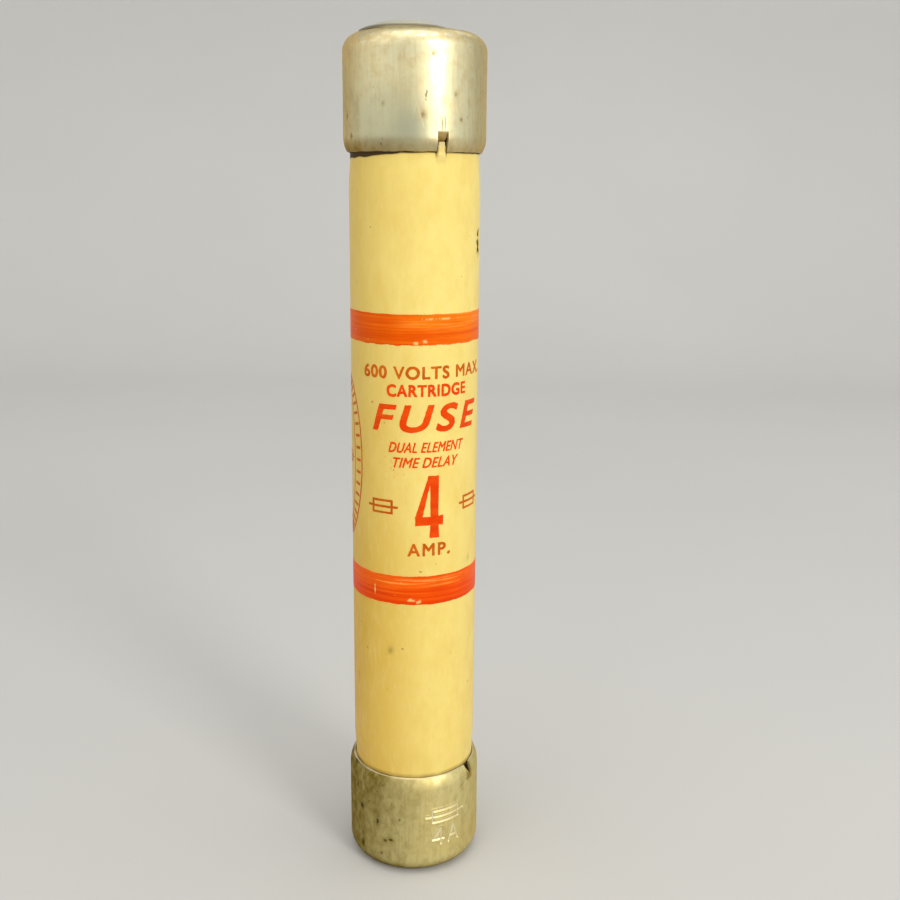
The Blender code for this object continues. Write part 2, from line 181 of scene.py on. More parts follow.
def mesh_from(name, points, faces, finish, sharp=35):
    mesh = bpy.data.meshes.new(name)
    mesh.from_pydata([tuple(point) for point in points], [], faces)
    bm = bmesh.new()
    bm.from_mesh(mesh)
    bpy.data.meshes.remove(mesh)
    return object_from(bm, name, finish, sharp)


def grid_faces(rings, count, joined=True):
    """Quads between rings of count points; joined also ties the last ring to the first."""
    faces = []
    for ring in range(rings if joined else rings - 1):
        here, beside = ring * count, (ring + 1) % rings * count
        for index in range(count):
            after = (index + 1) % count
            faces.append((here + index, beside + index, beside + after, here + after))
    return faces


def drop_loose(obj):
    """Deletes points that no face uses; the values on the others stay."""
    bm = bmesh.new()
    bm.from_mesh(obj.data)
    bmesh.ops.delete(bm, geom=[vert for vert in bm.verts if not vert.link_faces], context="VERTS")
    bm.to_mesh(obj.data)
    bm.free()


def stack_of_rings(name, rings, finish, sharp=50):
    """A closed solid from a row of rings of points, capped at both ends."""
    rings = np.asarray(rings)
    total, count = rings.shape[:2]
    faces = grid_faces(total, count, joined=False)
    faces.append(list(range(count)))
    faces.append(list(range((total - 1) * count, total * count)))
    return mesh_from(name, rings.reshape(-1, 3), faces, finish, sharp)


def point_values(obj, name, values, rest=0.0):
    """Stores a value from 0 to 1 on each point; points past the given values get rest."""
    found = np.full(len(obj.data.vertices), rest, np.float32)
    found[: values.size] = np.clip(values, 0, 1).ravel()
    obj.data.attributes.new(name, "FLOAT", "POINT").data.foreach_set("value", found)


def casing(obj, slot=None, *stands_for):
    """obj is part of the casing."""
    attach(obj, "casing")
    if stands_for:
        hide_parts(*stands_for)
    return obj


# --- materials ------------------------------------------------------------------------------


def add(tree, kind, inputs=None, **settings):
    """A shader node; an input is a value or another node's output."""
    node = tree.nodes.new(kind)
    for name, value in settings.items():
        setattr(node, name, value)
    for key, value in (inputs or {}).items():
        if isinstance(value, bpy.types.NodeSocket):
            tree.links.new(value, node.inputs[key])
        else:
            node.inputs[key].default_value = value
    return node


def grain(tree, scale, detail=3.0, rough=0.55, distortion=0.0, shift=(0, 0, 0)):
    """Noise in the object's own space; scale is waves per metre along x, y and z."""
    where = add(tree, "ShaderNodeTexCoord").outputs["Object"]
    placed = add(tree, "ShaderNodeMapping", {"Vector": where, "Scale": scale, "Location": shift})
    inputs = {
        "Vector": placed.outputs[0],
        "Scale": 1.0,
        "Detail": detail,
        "Roughness": rough,
        "Distortion": distortion,
    }
    return add(tree, "ShaderNodeTexNoise", inputs).outputs["Fac"]


def between(tree, value, low, high, to_low=0.0, to_high=1.0):
    """A value mapped from one range to another with soft ends."""
    inputs = {"Value": value, "From Min": low, "From Max": high, "To Min": to_low, "To Max": to_high}
    node = add(tree, "ShaderNodeMapRange", inputs, interpolation_type="SMOOTHSTEP")
    return node.outputs["Result"]


def calc(tree, operation, first, second=0.0, clamp=False):
    inputs = {0: first, 1: second}
    return add(tree, "ShaderNodeMath", inputs, operation=operation, use_clamp=clamp).outputs[0]


def plus(tree, first, second, clamp=False):
    return calc(tree, "ADD", first, second, clamp)


def times(tree, first, second, clamp=False):
    return calc(tree, "MULTIPLY", first, second, clamp)


def scaled(values, share):
    """A plain colour, or a scale, times a share."""
    return tuple(share * value for value in values)


def mix(tree, share, first, second):
    """A colour between two others; a plain colour is three numbers."""
    values = [(*c, 1.0) if isinstance(c, tuple) else c for c in (first, second)]
    inputs = {0: share, 6: values[0], 7: values[1]}
    return add(tree, "ShaderNodeMix", inputs, data_type="RGBA").outputs[2]


def painted(tree, name):
    """A value stored on the mesh's points."""
    return add(tree, "ShaderNodeAttribute", attribute_name=name).outputs["Fac"]


def bump(tree, height, strength, distance, normal=None):
    inputs = {"Height": height, "Strength": strength, "Distance": distance}
    if normal:
        inputs["Normal"] = normal
    return add(tree, "ShaderNodeBump", inputs).outputs["Normal"]


def new_material(name, colour, roughness, metallic, draw):
    """A Principled material; draw(tree, shader) adds its nodes."""
    made = bpy.data.materials.new(name)
    made.use_nodes = True
    tree = made.node_tree
    shader = tree.nodes["Principled BSDF"]
    shader.inputs["Base Color"].default_value = (*colour, 1.0)
    shader.inputs["Roughness"].default_value = roughness
    shader.inputs["Metallic"].default_value = metallic
    made.diffuse_color = (*colour, 1.0)
    draw(tree, shader)
    return made


def feed(tree, shader, **sockets):
    names = {"colour": "Base Color", "roughness": "Roughness", "normal": "Normal"}
    for key, socket in sockets.items():
        tree.links.new(socket, shader.inputs[names.get(key, key)])


def tune(shader, values):
    for name, value in values.items():
        shader.inputs[name].default_value = value


def nickel_material(name, clean, brassy, stain_and_shade_colour, roughness):
    """Old nickel plate on brass: dulled, mottled, thin in places, stained and pitted.

    The points carry "gilt", where the plate is thin, "cool", where it has dulled to grey, a brown
    tarnish that also holds painted shade, a darkening for dirt in the pits and scratches and for the
    inside of the cap that also holds painted shade, and freshly scraped metal that also holds
    painted highlights.
    """
    dulled = (0.50, 0.505, 0.345)
    scraped_and_highlight = (1.0, 0.92, 0.66)

    def draw(tree, shader):
        drawn = grain(tree, (2400, 2400, 120), 4, 0.6)
        cloud = grain(tree, (150, 150, 110), 5, 0.6, 0.6)
        mottle = grain(tree, (850, 850, 620), 5, 0.65, 0.3, (0.3, 0.1, 0.7))
        speck = grain(tree, (1500, 1500, 800), 2, 0.5, 0, (1.7, 0.4, 0.2))
        ragged = times(tree, calc(tree, "SUBTRACT", mottle, 0.5), 2.4)

        thin = plus(tree, between(tree, cloud, 0.40, 0.72, 0, 0.45), painted(tree, "gilt"), True)
        colour = mix(tree, thin, clean, brassy)
        faint = scaled(brassy, 0.72)
        colour = mix(tree, between(tree, mottle, 0.42, 0.72, 0, 0.50), colour, faint)
        colour = mix(tree, between(tree, drawn, 0.45, 0.72, 0, 0.34), colour, faint)
        colour = mix(tree, painted(tree, "cool"), colour, dulled)
        patchy = plus(tree, times(tree, ragged, 0.6), 1.0)
        # Tarnish, and painted shade.
        stain_and_shade = times(tree, painted(tree, "stain_and_shade"), patchy, True)
        colour = mix(tree, stain_and_shade, colour, stain_and_shade_colour)
        # Dirt, and painted shade.
        grime_and_shade = painted(tree, "grime_and_shade")
        dirt_and_shade = between(tree, plus(tree, grime_and_shade, times(tree, ragged, 0.4)), 0.22, 0.8)
        dirt_and_shade = times(tree, dirt_and_shade, between(tree, grime_and_shade, 0.0, 0.08))
        dirt_and_shade = calc(tree, "MAXIMUM", dirt_and_shade, between(tree, speck, 0.715, 0.76, 0, 0.6))
        dirt_and_shade = times(tree, dirt_and_shade, 0.9)
        colour = mix(tree, dirt_and_shade, colour, scaled(stain_and_shade_colour, 0.16))
        # Scraped metal, and painted highlights.
        brightened = painted(tree, "brightened")
        colour = mix(tree, brightened, colour, scraped_and_highlight)

        rough = between(tree, cloud, 0.3, 0.7, roughness - 0.04, roughness + 0.06)
        rough = plus(tree, rough, times(tree, dirt_and_shade, 0.3), True)
        rough = calc(tree, "SUBTRACT", rough, times(tree, brightened, 0.18))
        metal = calc(tree, "SUBTRACT", 1.0, times(tree, dirt_and_shade, 0.75), True)
        normal = bump(tree, drawn, 0.16, 0.02 * MM)
        normal = bump(tree, mottle, 0.30, 0.03 * MM, normal)
        normal = bump(tree, cloud, 0.20, 0.10 * MM, normal)
        feed(tree, shader, colour=colour, roughness=rough, normal=normal, Metallic=metal)
        tune(shader, {"Specular Tint": (0.80, 0.72, 0.55, 1)})

    return new_material(name, clean, roughness, 1.0, draw)


def fibre_material():
    """Cream laminated fibre under an amber varnish that has yellowed unevenly, darkened by painted shade on
    the left, the right edge and lower down.
    """
    fresh, amber_and_shade, dull = (0.88, 0.72, 0.23), (0.66, 0.385, 0.030), (0.76, 0.52, 0.115)
    thread, spot, torn = (0.90, 0.72, 0.34), (0.30, 0.17, 0.05), (0.86, 0.74, 0.44)
    dirt_and_shade = (0.055, 0.032, 0.010)

    def draw(tree, shader):
        blotch = grain(tree, (70, 70, 45), 5, 0.6, 0.5)
        mottle = grain(tree, (420, 420, 260), 4, 0.6)
        weave = grain(tree, (1900, 1900, 420), 3, 0.6)
        speck = grain(tree, (900, 900, 900), 1, 0.5, 0, (0.9, 0.2, 0.5))
        uneven = between(tree, blotch, 0.3, 0.7, -0.12, 0.12)
        # The painted amber is uneven yellowing and painted shade on the left and lower down.
        aged_and_shaded = plus(tree, painted(tree, "amber_and_shade"), uneven, True)
        colour = mix(tree, aged_and_shaded, fresh, amber_and_shade)
        colour = mix(tree, between(tree, mottle, 0.35, 0.75, 0, 0.35), colour, dull)
        colour = mix(tree, between(tree, weave, 0.45, 0.8, 0, 0.22), colour, thread)
        colour = mix(tree, between(tree, speck, 0.775, 0.80, 0, 0.6), colour, spot)
        colour = mix(tree, painted(tree, "pale"), colour, torn)
        # Dirt, and the painted shadow under the upper rim, darken the fibre here.
        caught = between(tree, mottle, 0.25, 0.6, 0.8, 1.5)
        soiled_and_shaded = times(tree, painted(tree, "grime_and_shade"), caught, True)
        colour = mix(tree, soiled_and_shaded, colour, dirt_and_shade)
        rough = between(tree, blotch, 0.3, 0.7, 0.34, 0.46)
        rough = plus(tree, rough, times(tree, soiled_and_shaded, 0.3), True)
        normal = bump(tree, weave, 0.12, 0.03 * MM)
        normal = bump(tree, mottle, 0.18, 0.08 * MM, normal)
        feed(tree, shader, colour=colour, roughness=rough, normal=normal)
        tune(shader, {
            "Specular IOR Level": 0.26,
            "Specular Tint": (1.0, 0.80, 0.40, 1),
            "Coat Weight": 0.07,
            "Coat Roughness": 0.25,
            "Coat Tint": (1.0, 0.95, 0.80, 1),
            "Subsurface Weight": 0.08,
            "Subsurface Radius": (0.5, 0.3, 0.1),
            "Subsurface Scale": 0.6 * MM,
        })

    return new_material("varnished_fibre", (0.80, 0.60, 0.18), 0.4, 0.0, draw)


def ink_material(name, deep, light, streaks, worn):
    """Printing ink: rolled on in streaks, or stamped, and worn through to the fibre in spots.

    The points may carry "thin", where the ink is starved, and "chipped", where it is gone.
    """
    starved = (0.96, 0.42, 0.08)
    beneath = (0.84, 0.62, 0.20)

    def draw(tree, shader):
        drag = grain(tree, streaks, 4, 0.65, 0.2)
        cloud = grain(tree, (160, 160, 160), 3, 0.6)
        flake = grain(tree, (330, 330, 2100), 4, 0.65, 0, (0.4, 0.8, 0.1))
        hair = grain(tree, scaled(streaks, 2.3), 3, 0.6, 0.1, (0.2, 0.5, 0.9))
        streak = plus(tree, between(tree, drag, 0.38, 0.66, 0, 0.7), painted(tree, "thin"), True)
        colour = mix(tree, streak, deep, light)
        colour = mix(tree, between(tree, hair, 0.56, 0.68, 0, 0.45), colour, scaled(deep, 0.7))
        pale = times(tree, painted(tree, "thin"), between(tree, hair, 0.46, 0.34, 0, 0.9))
        colour = mix(tree, pale, colour, starved)
        colour = mix(tree, between(tree, cloud, 0.4, 0.75, 0, 0.35), colour, scaled(deep, 0.8))
        brightened = between(tree, flake, worn, worn + 0.05, 0, 0.7)
        brightened = calc(tree, "MAXIMUM", brightened, painted(tree, "chipped"))
        colour = mix(tree, brightened, colour, beneath)
        rough = between(tree, drag, 0.3, 0.7, 0.34, 0.48)
        normal = bump(tree, drag, 0.2, 0.03 * MM)
        feed(tree, shader, colour=colour, roughness=rough, normal=normal)
        tune(shader, {"Specular IOR Level": 0.17, "Specular Tint": (1.0, 0.55, 0.15, 1)})

    return new_material(name, deep, 0.42, 0.0, draw)


def metal_material(name, clean, dull, low, high, scale=(900, 900, 900), turned=False):
    """Bare metal with a patchy oxide, from low to high roughness, and turning marks if turned.

    Points may carry a value that darkens the colour towards dark brown.
    """
    dirt_and_shade = (0.20, 0.15, 0.05)

    def draw(tree, shader):
        cloud = grain(tree, scaled(scale, 0.3), 5, 0.6, 0.4)
        fine = grain(tree, scale, 3, 0.6)
        marks = grain(tree, (120, 120, 9000) if turned else scaled(scale, 3), 3, 0.6)
        colour = mix(tree, between(tree, cloud, 0.35, 0.7, 0, 0.8), clean, dull)
        colour = mix(tree, between(tree, fine, 0.55, 0.8, 0, 0.35), colour, scaled(dull, 0.5))
        colour = mix(tree, painted(tree, "grime_and_shade"), colour, dirt_and_shade)
        rough = between(tree, cloud, 0.3, 0.7, low, high)
        normal = bump(tree, marks, 0.25, 0.02 * MM)
        feed(tree, shader, colour=colour, roughness=rough, normal=normal)

    return new_material(name, clean, (low + high) / 2, 1.0, draw)


def dull_material(name, first, second, roughness, scale, strength, depth):
    """A dull, grained material: two colours mixed by noise at two sizes."""

    def draw(tree, shader):
        cloud = grain(tree, scaled(scale, 0.12), 4, 0.6, 0.3)
        fine = grain(tree, scale, 4, 0.65)
        colour = mix(tree, between(tree, cloud, 0.35, 0.7, 0, 0.6), first, second)
        colour = mix(tree, between(tree, fine, 0.4, 0.7, 0, 0.7), colour, scaled(second, 0.72))
        rough = between(tree, fine, 0.3, 0.7, roughness - 0.08, min(1.0, roughness + 0.06))
        normal = bump(tree, fine, strength, depth)
        feed(tree, shader, colour=colour, roughness=rough, normal=normal)

    return new_material(name, first, roughness, 0.0, draw)


upper_nickel = nickel_material(
    "worn_nickel_upper", (0.82, 0.78, 0.50), (0.92, 0.71, 0.34), (0.36, 0.23, 0.06), 0.40
)
lower_nickel = nickel_material(
    "worn_nickel_lower", (0.78, 0.69, 0.325), (0.72, 0.57, 0.22), (0.20, 0.14, 0.015), 0.52
)
fibre = fibre_material()
rolled_on, stamped_on, fine_stamped = (45, 45, 1900), (300, 300, 900), (500, 500, 500)
upper_ink = ink_material("band_ink_upper", (0.78, 0.088, 0.001), (0.93, 0.20, 0.006), rolled_on, 0.675)
lower_ink = ink_material("band_ink_lower", (0.80, 0.050, 0.001), (0.92, 0.125, 0.004), rolled_on, 0.67)
bold_ink = ink_material("bold_ink", (0.78, 0.05, 0.002), (0.86, 0.10, 0.006), stamped_on, 0.72)
thin_ink = ink_material("thin_ink", (0.55, 0.10, 0.004), (0.70, 0.16, 0.010), fine_stamped, 0.72)
cast, wire = (700, 700, 700), (1500, 1500, 1500)
dome_solder = metal_material("flowed_solder", (0.82, 0.81, 0.66), (0.66, 0.64, 0.46), 0.26, 0.42, cast)
solder = metal_material("solder", (0.86, 0.90, 0.86), (0.66, 0.70, 0.66), 0.24, 0.40, cast)
copper = metal_material("copper", (0.78, 0.38, 0.24), (0.45, 0.20, 0.12), 0.25, 0.45, (800, 800, 300))
brass = metal_material("brass", (0.80, 0.58, 0.24), (0.50, 0.33, 0.12), 0.22, 0.42, (800, 800, 800), True)
heater_wire = metal_material("resistance_wire", (0.42, 0.40, 0.39), (0.20, 0.17, 0.16), 0.30, 0.50, wire)
spring_wire = metal_material("spring_steel", (0.55, 0.56, 0.58), (0.32, 0.31, 0.31), 0.20, 0.36, wire)
red_fibre = dull_material(
    "vulcanised_fibre", (0.30, 0.075, 0.05), (0.22, 0.05, 0.035), 0.62, (900, 900, 500), 0.25, 0.05 * MM
)
grey_paper = dull_material(
    "paper", (0.58, 0.49, 0.34), (0.48, 0.38, 0.24), 0.85, (1100, 1100, 700), 0.35, 0.05 * MM
)
packed_sand = dull_material(
    "quartz_sand", (0.72, 0.66, 0.54), (0.56, 0.48, 0.37), 0.90, (2600, 2600, 2600), 0.9, 0.15 * MM
)
white_ceramic = dull_material(
    "ceramic", (0.80, 0.79, 0.75), (0.72, 0.70, 0.65), 0.50, (900, 900, 900), 0.15, 0.03 * MM
)


# --- ferrules -------------------------------------------------------------------------------


def arc(centre, radius, start, end, count):
    """(radius, inset) points on an arc; the angles are in degrees from the radius axis."""
    angles = np.radians(np.linspace(start, end, count + 1))
    return [(centre[0] + radius * math.cos(a), centre[1] + radius * math.sin(a)) for a in angles]


def wall_outside(inset):
    rolled = np.clip((inset - FERRULE_LENGTH + CRIMP_LENGTH) / (CRIMP_LENGTH - LIP), 0, 1)
    return FERRULE_RADIUS - CRIMP_PULL * rolled**2


def wall_inside(inset):
    crimp_start = FERRULE_LENGTH - 0.8 * CRIMP_LENGTH
    rolled = np.clip((inset - crimp_start) / (0.55 * CRIMP_LENGTH), 0, 1)
    return FERRULE_RADIUS - WALL - (FERRULE_RADIUS - WALL - RIM_INSIDE) * rolled


def segment_gap(across, up, start, end):
    """Distance from points on the unrolled surface to a stroke."""
    run, rise = end[0] - start[0], end[1] - start[1]
    share = ((across - start[0]) * run + (up - start[1]) * rise) / (run * run + rise * rise)
    share = np.clip(share, 0, 1)
    return np.hypot(across - start[0] - share * run, up - start[1] - share * rise)


def stamp_strokes():
    """A plain fuse symbol over the rating, as strokes in millimetres round the stamp's middle."""
    wide, high, lead = 2.3, 0.95, 3.3
    top, low, numeral = 1.7, -3.15, -0.45
    frame_corners = [(-wide, -high), (wide, -high), (wide, high), (-wide, high)]
    strokes = list(zip(frame_corners, frame_corners[1:] + frame_corners[:1]))
    strokes.append(((-lead, 0), (lead, 0)))
    strokes = [((a[0], a[1] + top), (b[0], b[1] + top)) for a, b in strokes]
    four = [(-0.85, low), (-0.85, numeral), (-2.25, -2.3), (-0.35, -2.3)]
    letter = [(0.45, low), (1.35, numeral), (2.25, low)]
    strokes += list(zip(four, four[1:])) + list(zip(letter, letter[1:]))
    strokes.append(((0.8, -2.2), (1.9, -2.2)))
    return strokes


STAMP_TURN = 31
STAMP_INSET = 8.2 * MM
STAMP_WIDTH = 0.17 * MM
STAMP_DEPTH = 0.11 * MM


def stamp(turn, inset):
    """The struck mark's depth: a groove with a small burr thrown up beside it."""
    across = np.radians(turn_gap(turn, STAMP_TURN)) * FERRULE_RADIUS / MM
    up = (inset - STAMP_INSET) / MM
    gap = np.full(across.shape, 9.0)
    for start, end in stamp_strokes():
        gap = np.minimum(gap, segment_gap(across, up, start, end))
    gap = gap * MM
    groove = 1 - smooth(gap, 0.35 * STAMP_WIDTH, 1.25 * STAMP_WIDTH)
    burr = np.exp(-(((gap - 1.9 * STAMP_WIDTH) / (0.7 * STAMP_WIDTH)) ** 2))
    return STAMP_DEPTH * (0.45 * burr - groove)


# A dent or a pit: turn, inset, radius, depth, how much longer than wide it is, in degrees and mm
UPPER_MARKS = (
    (16, 3.6, 0.50, 0.030, 1.0),
    (8, 11.6, 0.45, 0.025, 1.1),
    (40, 12.1, 0.22, 0.040, 1.0),
    (35, 8.8, 0.20, 0.025, 1.5),
    (-23, 10.2, 0.20, 0.030, 1.2),
    (-58, 14.3, 0.25, 0.050, 1.8),
    (-64, 11.5, 0.18, 0.040, 3.0),
    (-45, 6.5, 0.9, 0.050, 1.4),
    (62, 8.0, 1.1, 0.045, 1.2),
    (120, 6.0, 0.8, 0.060, 1.5),
    (-130, 9.5, 0.6, 0.070, 1.0),
    (165, 11.0, 0.5, 0.050, 1.6),
)
LOWER_MARKS = (
    (-32, 8.4, 0.26, 0.090, 2.2),
    (-51, 9.8, 0.26, 0.080, 1.6),
    (-50, 3.4, 0.24, 0.080, 2.0),
    (-19, 5.8, 0.30, 0.070, 0.8),
    (-24, 5.5, 0.20, 0.050, 1.0),
    (-11, 9.5, 0.16, 0.060, 1.0),
    (-28, 3.1, 0.18, 0.060, 1.0),
    (-58, 12.9, 0.22, 0.060, 2.0),
    (48, 12.6, 0.6, 0.050, 0.7),
    (75, 7.0, 0.9, 0.060, 1.3),
    (140, 8.0, 0.5, 0.080, 1.0),
    (-120, 6.0, 0.7, 0.060, 1.5),
    (-95, 10.5, 0.3, 0.070, 2.0),
)
# A scratch: from turn and inset to turn and inset, and its depth
UPPER_SCRATCHES = (
    (4, 9.8, -0.5, 13.6, 0.010),
    (4, 9.8, 9.5, 13.2, 0.009),
    (26, 11.9, 26, 13.5, 0.032),
    (23.5, 12.1, 23.8, 13.6, 0.030),
    (-60, 5.0, -61, 7.2, 0.020),
    (-66, 10.4, -65, 12.4, 0.025),
    (52, 5.5, 58, 9.0, 0.015),
    (100, 6.0, 130, 9.0, 0.020),
)
LOWER_SCRATCHES = (
    (-26, 12.0, -26, 14.2, 0.020),
    (-22, 12.2, -22.4, 14.0, 0.018),
    (-18, 11.8, -18, 13.8, 0.020),
    (-36, 12.0, -35.6, 15.0, 0.022),
    (44, 13.2, 58, 14.6, 0.030),
    (-75, 6.0, -50, 7.5, 0.016),
    (110, 10.0, 150, 6.0, 0.020),
)


def damage(turn, inset, marks, scratches):
    """(height, grime, halo) of the dents, pits and scratches."""
    height = np.zeros(turn.shape)
    grime_and_shade = np.zeros(turn.shape)
    halo = np.zeros(turn.shape)
    for middle, at, radius, depth, stretch in marks:
        across = np.radians(turn_gap(turn, middle)) * FERRULE_RADIUS / MM / radius
        along = (inset / MM - at) / (radius * stretch)
        away = across**2 + along**2
        height -= depth * MM * np.exp(-away)
        if radius < 0.6:
            grime_and_shade += np.exp(-away) * min(1.0, depth / 0.06)
            halo += 0.45 * np.exp(-away / 2.6)
    for turn_a, inset_a, turn_b, inset_b, depth in scratches:
        scale = math.radians(1) * FERRULE_RADIUS / MM
        across = turn_gap(turn, turn_a) * scale
        end = (turn_gap(turn_b, turn_a) * scale, inset_b)
        gap = segment_gap(across, inset / MM, (0, inset_a), end)
        shape = np.exp(-((gap / 0.09) ** 2))
        height -= depth * MM * shape
        grime_and_shade += 18 * depth * shape
    return height, grime_and_shade, halo


def ferrule_paint(turn, inset, outer, upper):
    """Where the plate is thin, stained, dirty or scraped bare, with painted shade and painted highlights;
    turns are in degrees.
    """
    rim = smooth(inset, FERRULE_LENGTH - 2.6 * MM, FERRULE_LENGTH - 0.2 * MM)
    lip = smooth(inset, FERRULE_LENGTH - 1.1 * LIP, FERRULE_LENGTH - 0.4 * LIP)
    left = flank(-turn, 35, 85)
    right = flank(turn, 45, 85)
    left_shade = flank(-turn, -30, 80)
    wave = ripple(turn, inset, 91, 12, 9, 900)
    fine = ripple(turn, inset, 93, 24, 34, 11000)
    inside = np.where(outer, 0.0, 0.9)
    if upper:
        crown = 1 - smooth(inset, 0.1 * MM, 0.5 * MM)
        shoulder = hump(inset, 1.3 * MM, 0.8 * MM)
        shoulder = shoulder * (1 - smooth(np.abs(turn_gap(turn, 5)), 45, 80))
        streaks = smooth(ripple(turn, 0.15 * inset, 95, 20, 90, 900), 0.2, 1.1)
        streaks = streaks * hump(turn_gap(turn, -62), 0, 12)
        cool = hump(turn_gap(turn, -10), 0, 32) * smooth(inset, 5.0 * MM, 13.5 * MM)
        low_left = hump(turn_gap(turn, -64), 0, 13) * smooth(inset, 7 * MM, 13 * MM)
        # Painted shade: the plate is darkened towards the rim, where it curls in, most on the left.
        shaded_rim = rim * (0.55 + 0.45 * flank(-turn, -50, 40))
        return {
            "gilt": 0.85 * left + 0.6 * right + 0.35 * rim + 0.35 * shoulder,
            "stain_and_shade": 0.75 * shaded_rim + 0.40 * low_left * (1 + wave) + 0.55 * crown + 0.35 * streaks,
            "cool": 0.85 * cool * (1 + 0.25 * wave),
            # The lip, which faces down here, is darkened with painted shade.
            "grime_and_shade": inside + 0.5 * lip,
            # Scraped metal and painted highlights: broken bright patches on the shoulder.
            "brightened": 0.9 * shoulder * smooth(fine, 0.1, 0.9),
        }
    # Painted dark reflection on the lower cap: the stain darkens its left side and its foot; the dirty
    # patch on the left is partly dirt, partly painted shade.
    patch = hump(turn_gap(turn, -73), 0, 21) * smooth(inset, 7.0 * MM, 12.5 * MM)
    mottled = hump(turn_gap(turn, -32), 0, 26) * smooth(inset, 8.5 * MM, 12 * MM)
    foot = 0.3 * (1 - smooth(inset, 0.8 * MM, 2.4 * MM)) + 0.5 * (1 - smooth(inset, 0.4 * MM, 1.6 * MM))
    return {
        "gilt": 0.5 * left + 0.3 * right,
        "cool": np.zeros(turn.shape),
        "stain_and_shade": 0.88 * left_shade + 0.12 * mottled * (1 + wave) + foot,
        "grime_and_shade": inside + 0.42 * patch * (1 + 0.6 * wave) + 0.05 * mottled * (1 + fine),
        # The lip, which faces up here, is lightened as a painted highlight.
        "brightened": 0.8 * lip,
    }


def ferrule_outline(barrel, shared):
    """(radius, inset) all round the wall's section, and which of the points is the rim.

    It starts at the hole, runs over the end face and down the outside to the rim, and comes
    back up the inside. barrel holds the outside's insets, and shared those beside the notches.
    """
    flat = FERRULE_RADIUS - CORNER
    bevel = 0.12 * MM
    outline = [(HOLE_RADIUS, bevel)]
    outline += [(radius, 0.0) for radius in np.linspace(HOLE_RADIUS + bevel, flat, 12)[:-1]]
    outline += arc((flat, CORNER), CORNER, -90, 0, 18)[:-1]
    outline += [(float(wall_outside(inset)), inset) for inset in barrel]
    rim = len(outline)
    outline.append(((float(wall_outside(barrel[-1])) + RIM_INSIDE) / 2, FERRULE_LENGTH))
    outline += [(float(wall_inside(inset)), inset) for inset in reversed(shared)]
    outline += [(FERRULE_RADIUS - WALL, inset) for inset in np.linspace(NOTCH_INSET, CORNER, 8)[1:]]
    outline += arc((flat, CORNER), CORNER - WALL, 0, -90, 8)[1:]
    outline += [(HOLE_RADIUS + bevel, WALL), (HOLE_RADIUS, WALL - bevel)]
    return np.array(outline), rim


def rim_waves(turn, inset, windows, seed):
    """How far the crimped rim strays outwards and along, with its lift beside the notches."""
    near_rim = smooth(inset, FERRULE_LENGTH - 1.4 * MM, FERRULE_LENGTH)
    outwards = 0.022 * MM * ripple(turn, 0 * inset, seed + 1, 12, 23) * near_rim
    for start, end in windows:
        beside = np.maximum(np.abs(turn_gap(turn, (start + end) / 2)) - NOTCH_HALF_TURN, 0)
        reach = smooth(inset, NOTCH_INSET - 0.5 * MM, FERRULE_LENGTH)
        outwards += 0.07 * MM * hump(beside, 0, 2.2) * reach
    along = 0.035 * MM * ripple(turn, 0 * inset, seed + 2, 12, 17) * near_rim
    return outwards, along


# The painted values on a tongue, whose points come after the wall's
ON_TONGUES = {"grime_and_shade": 0.04, "gilt": 0.9, "stain_and_shade": 0.5, "cool": 0.0, "brightened": 0.0}


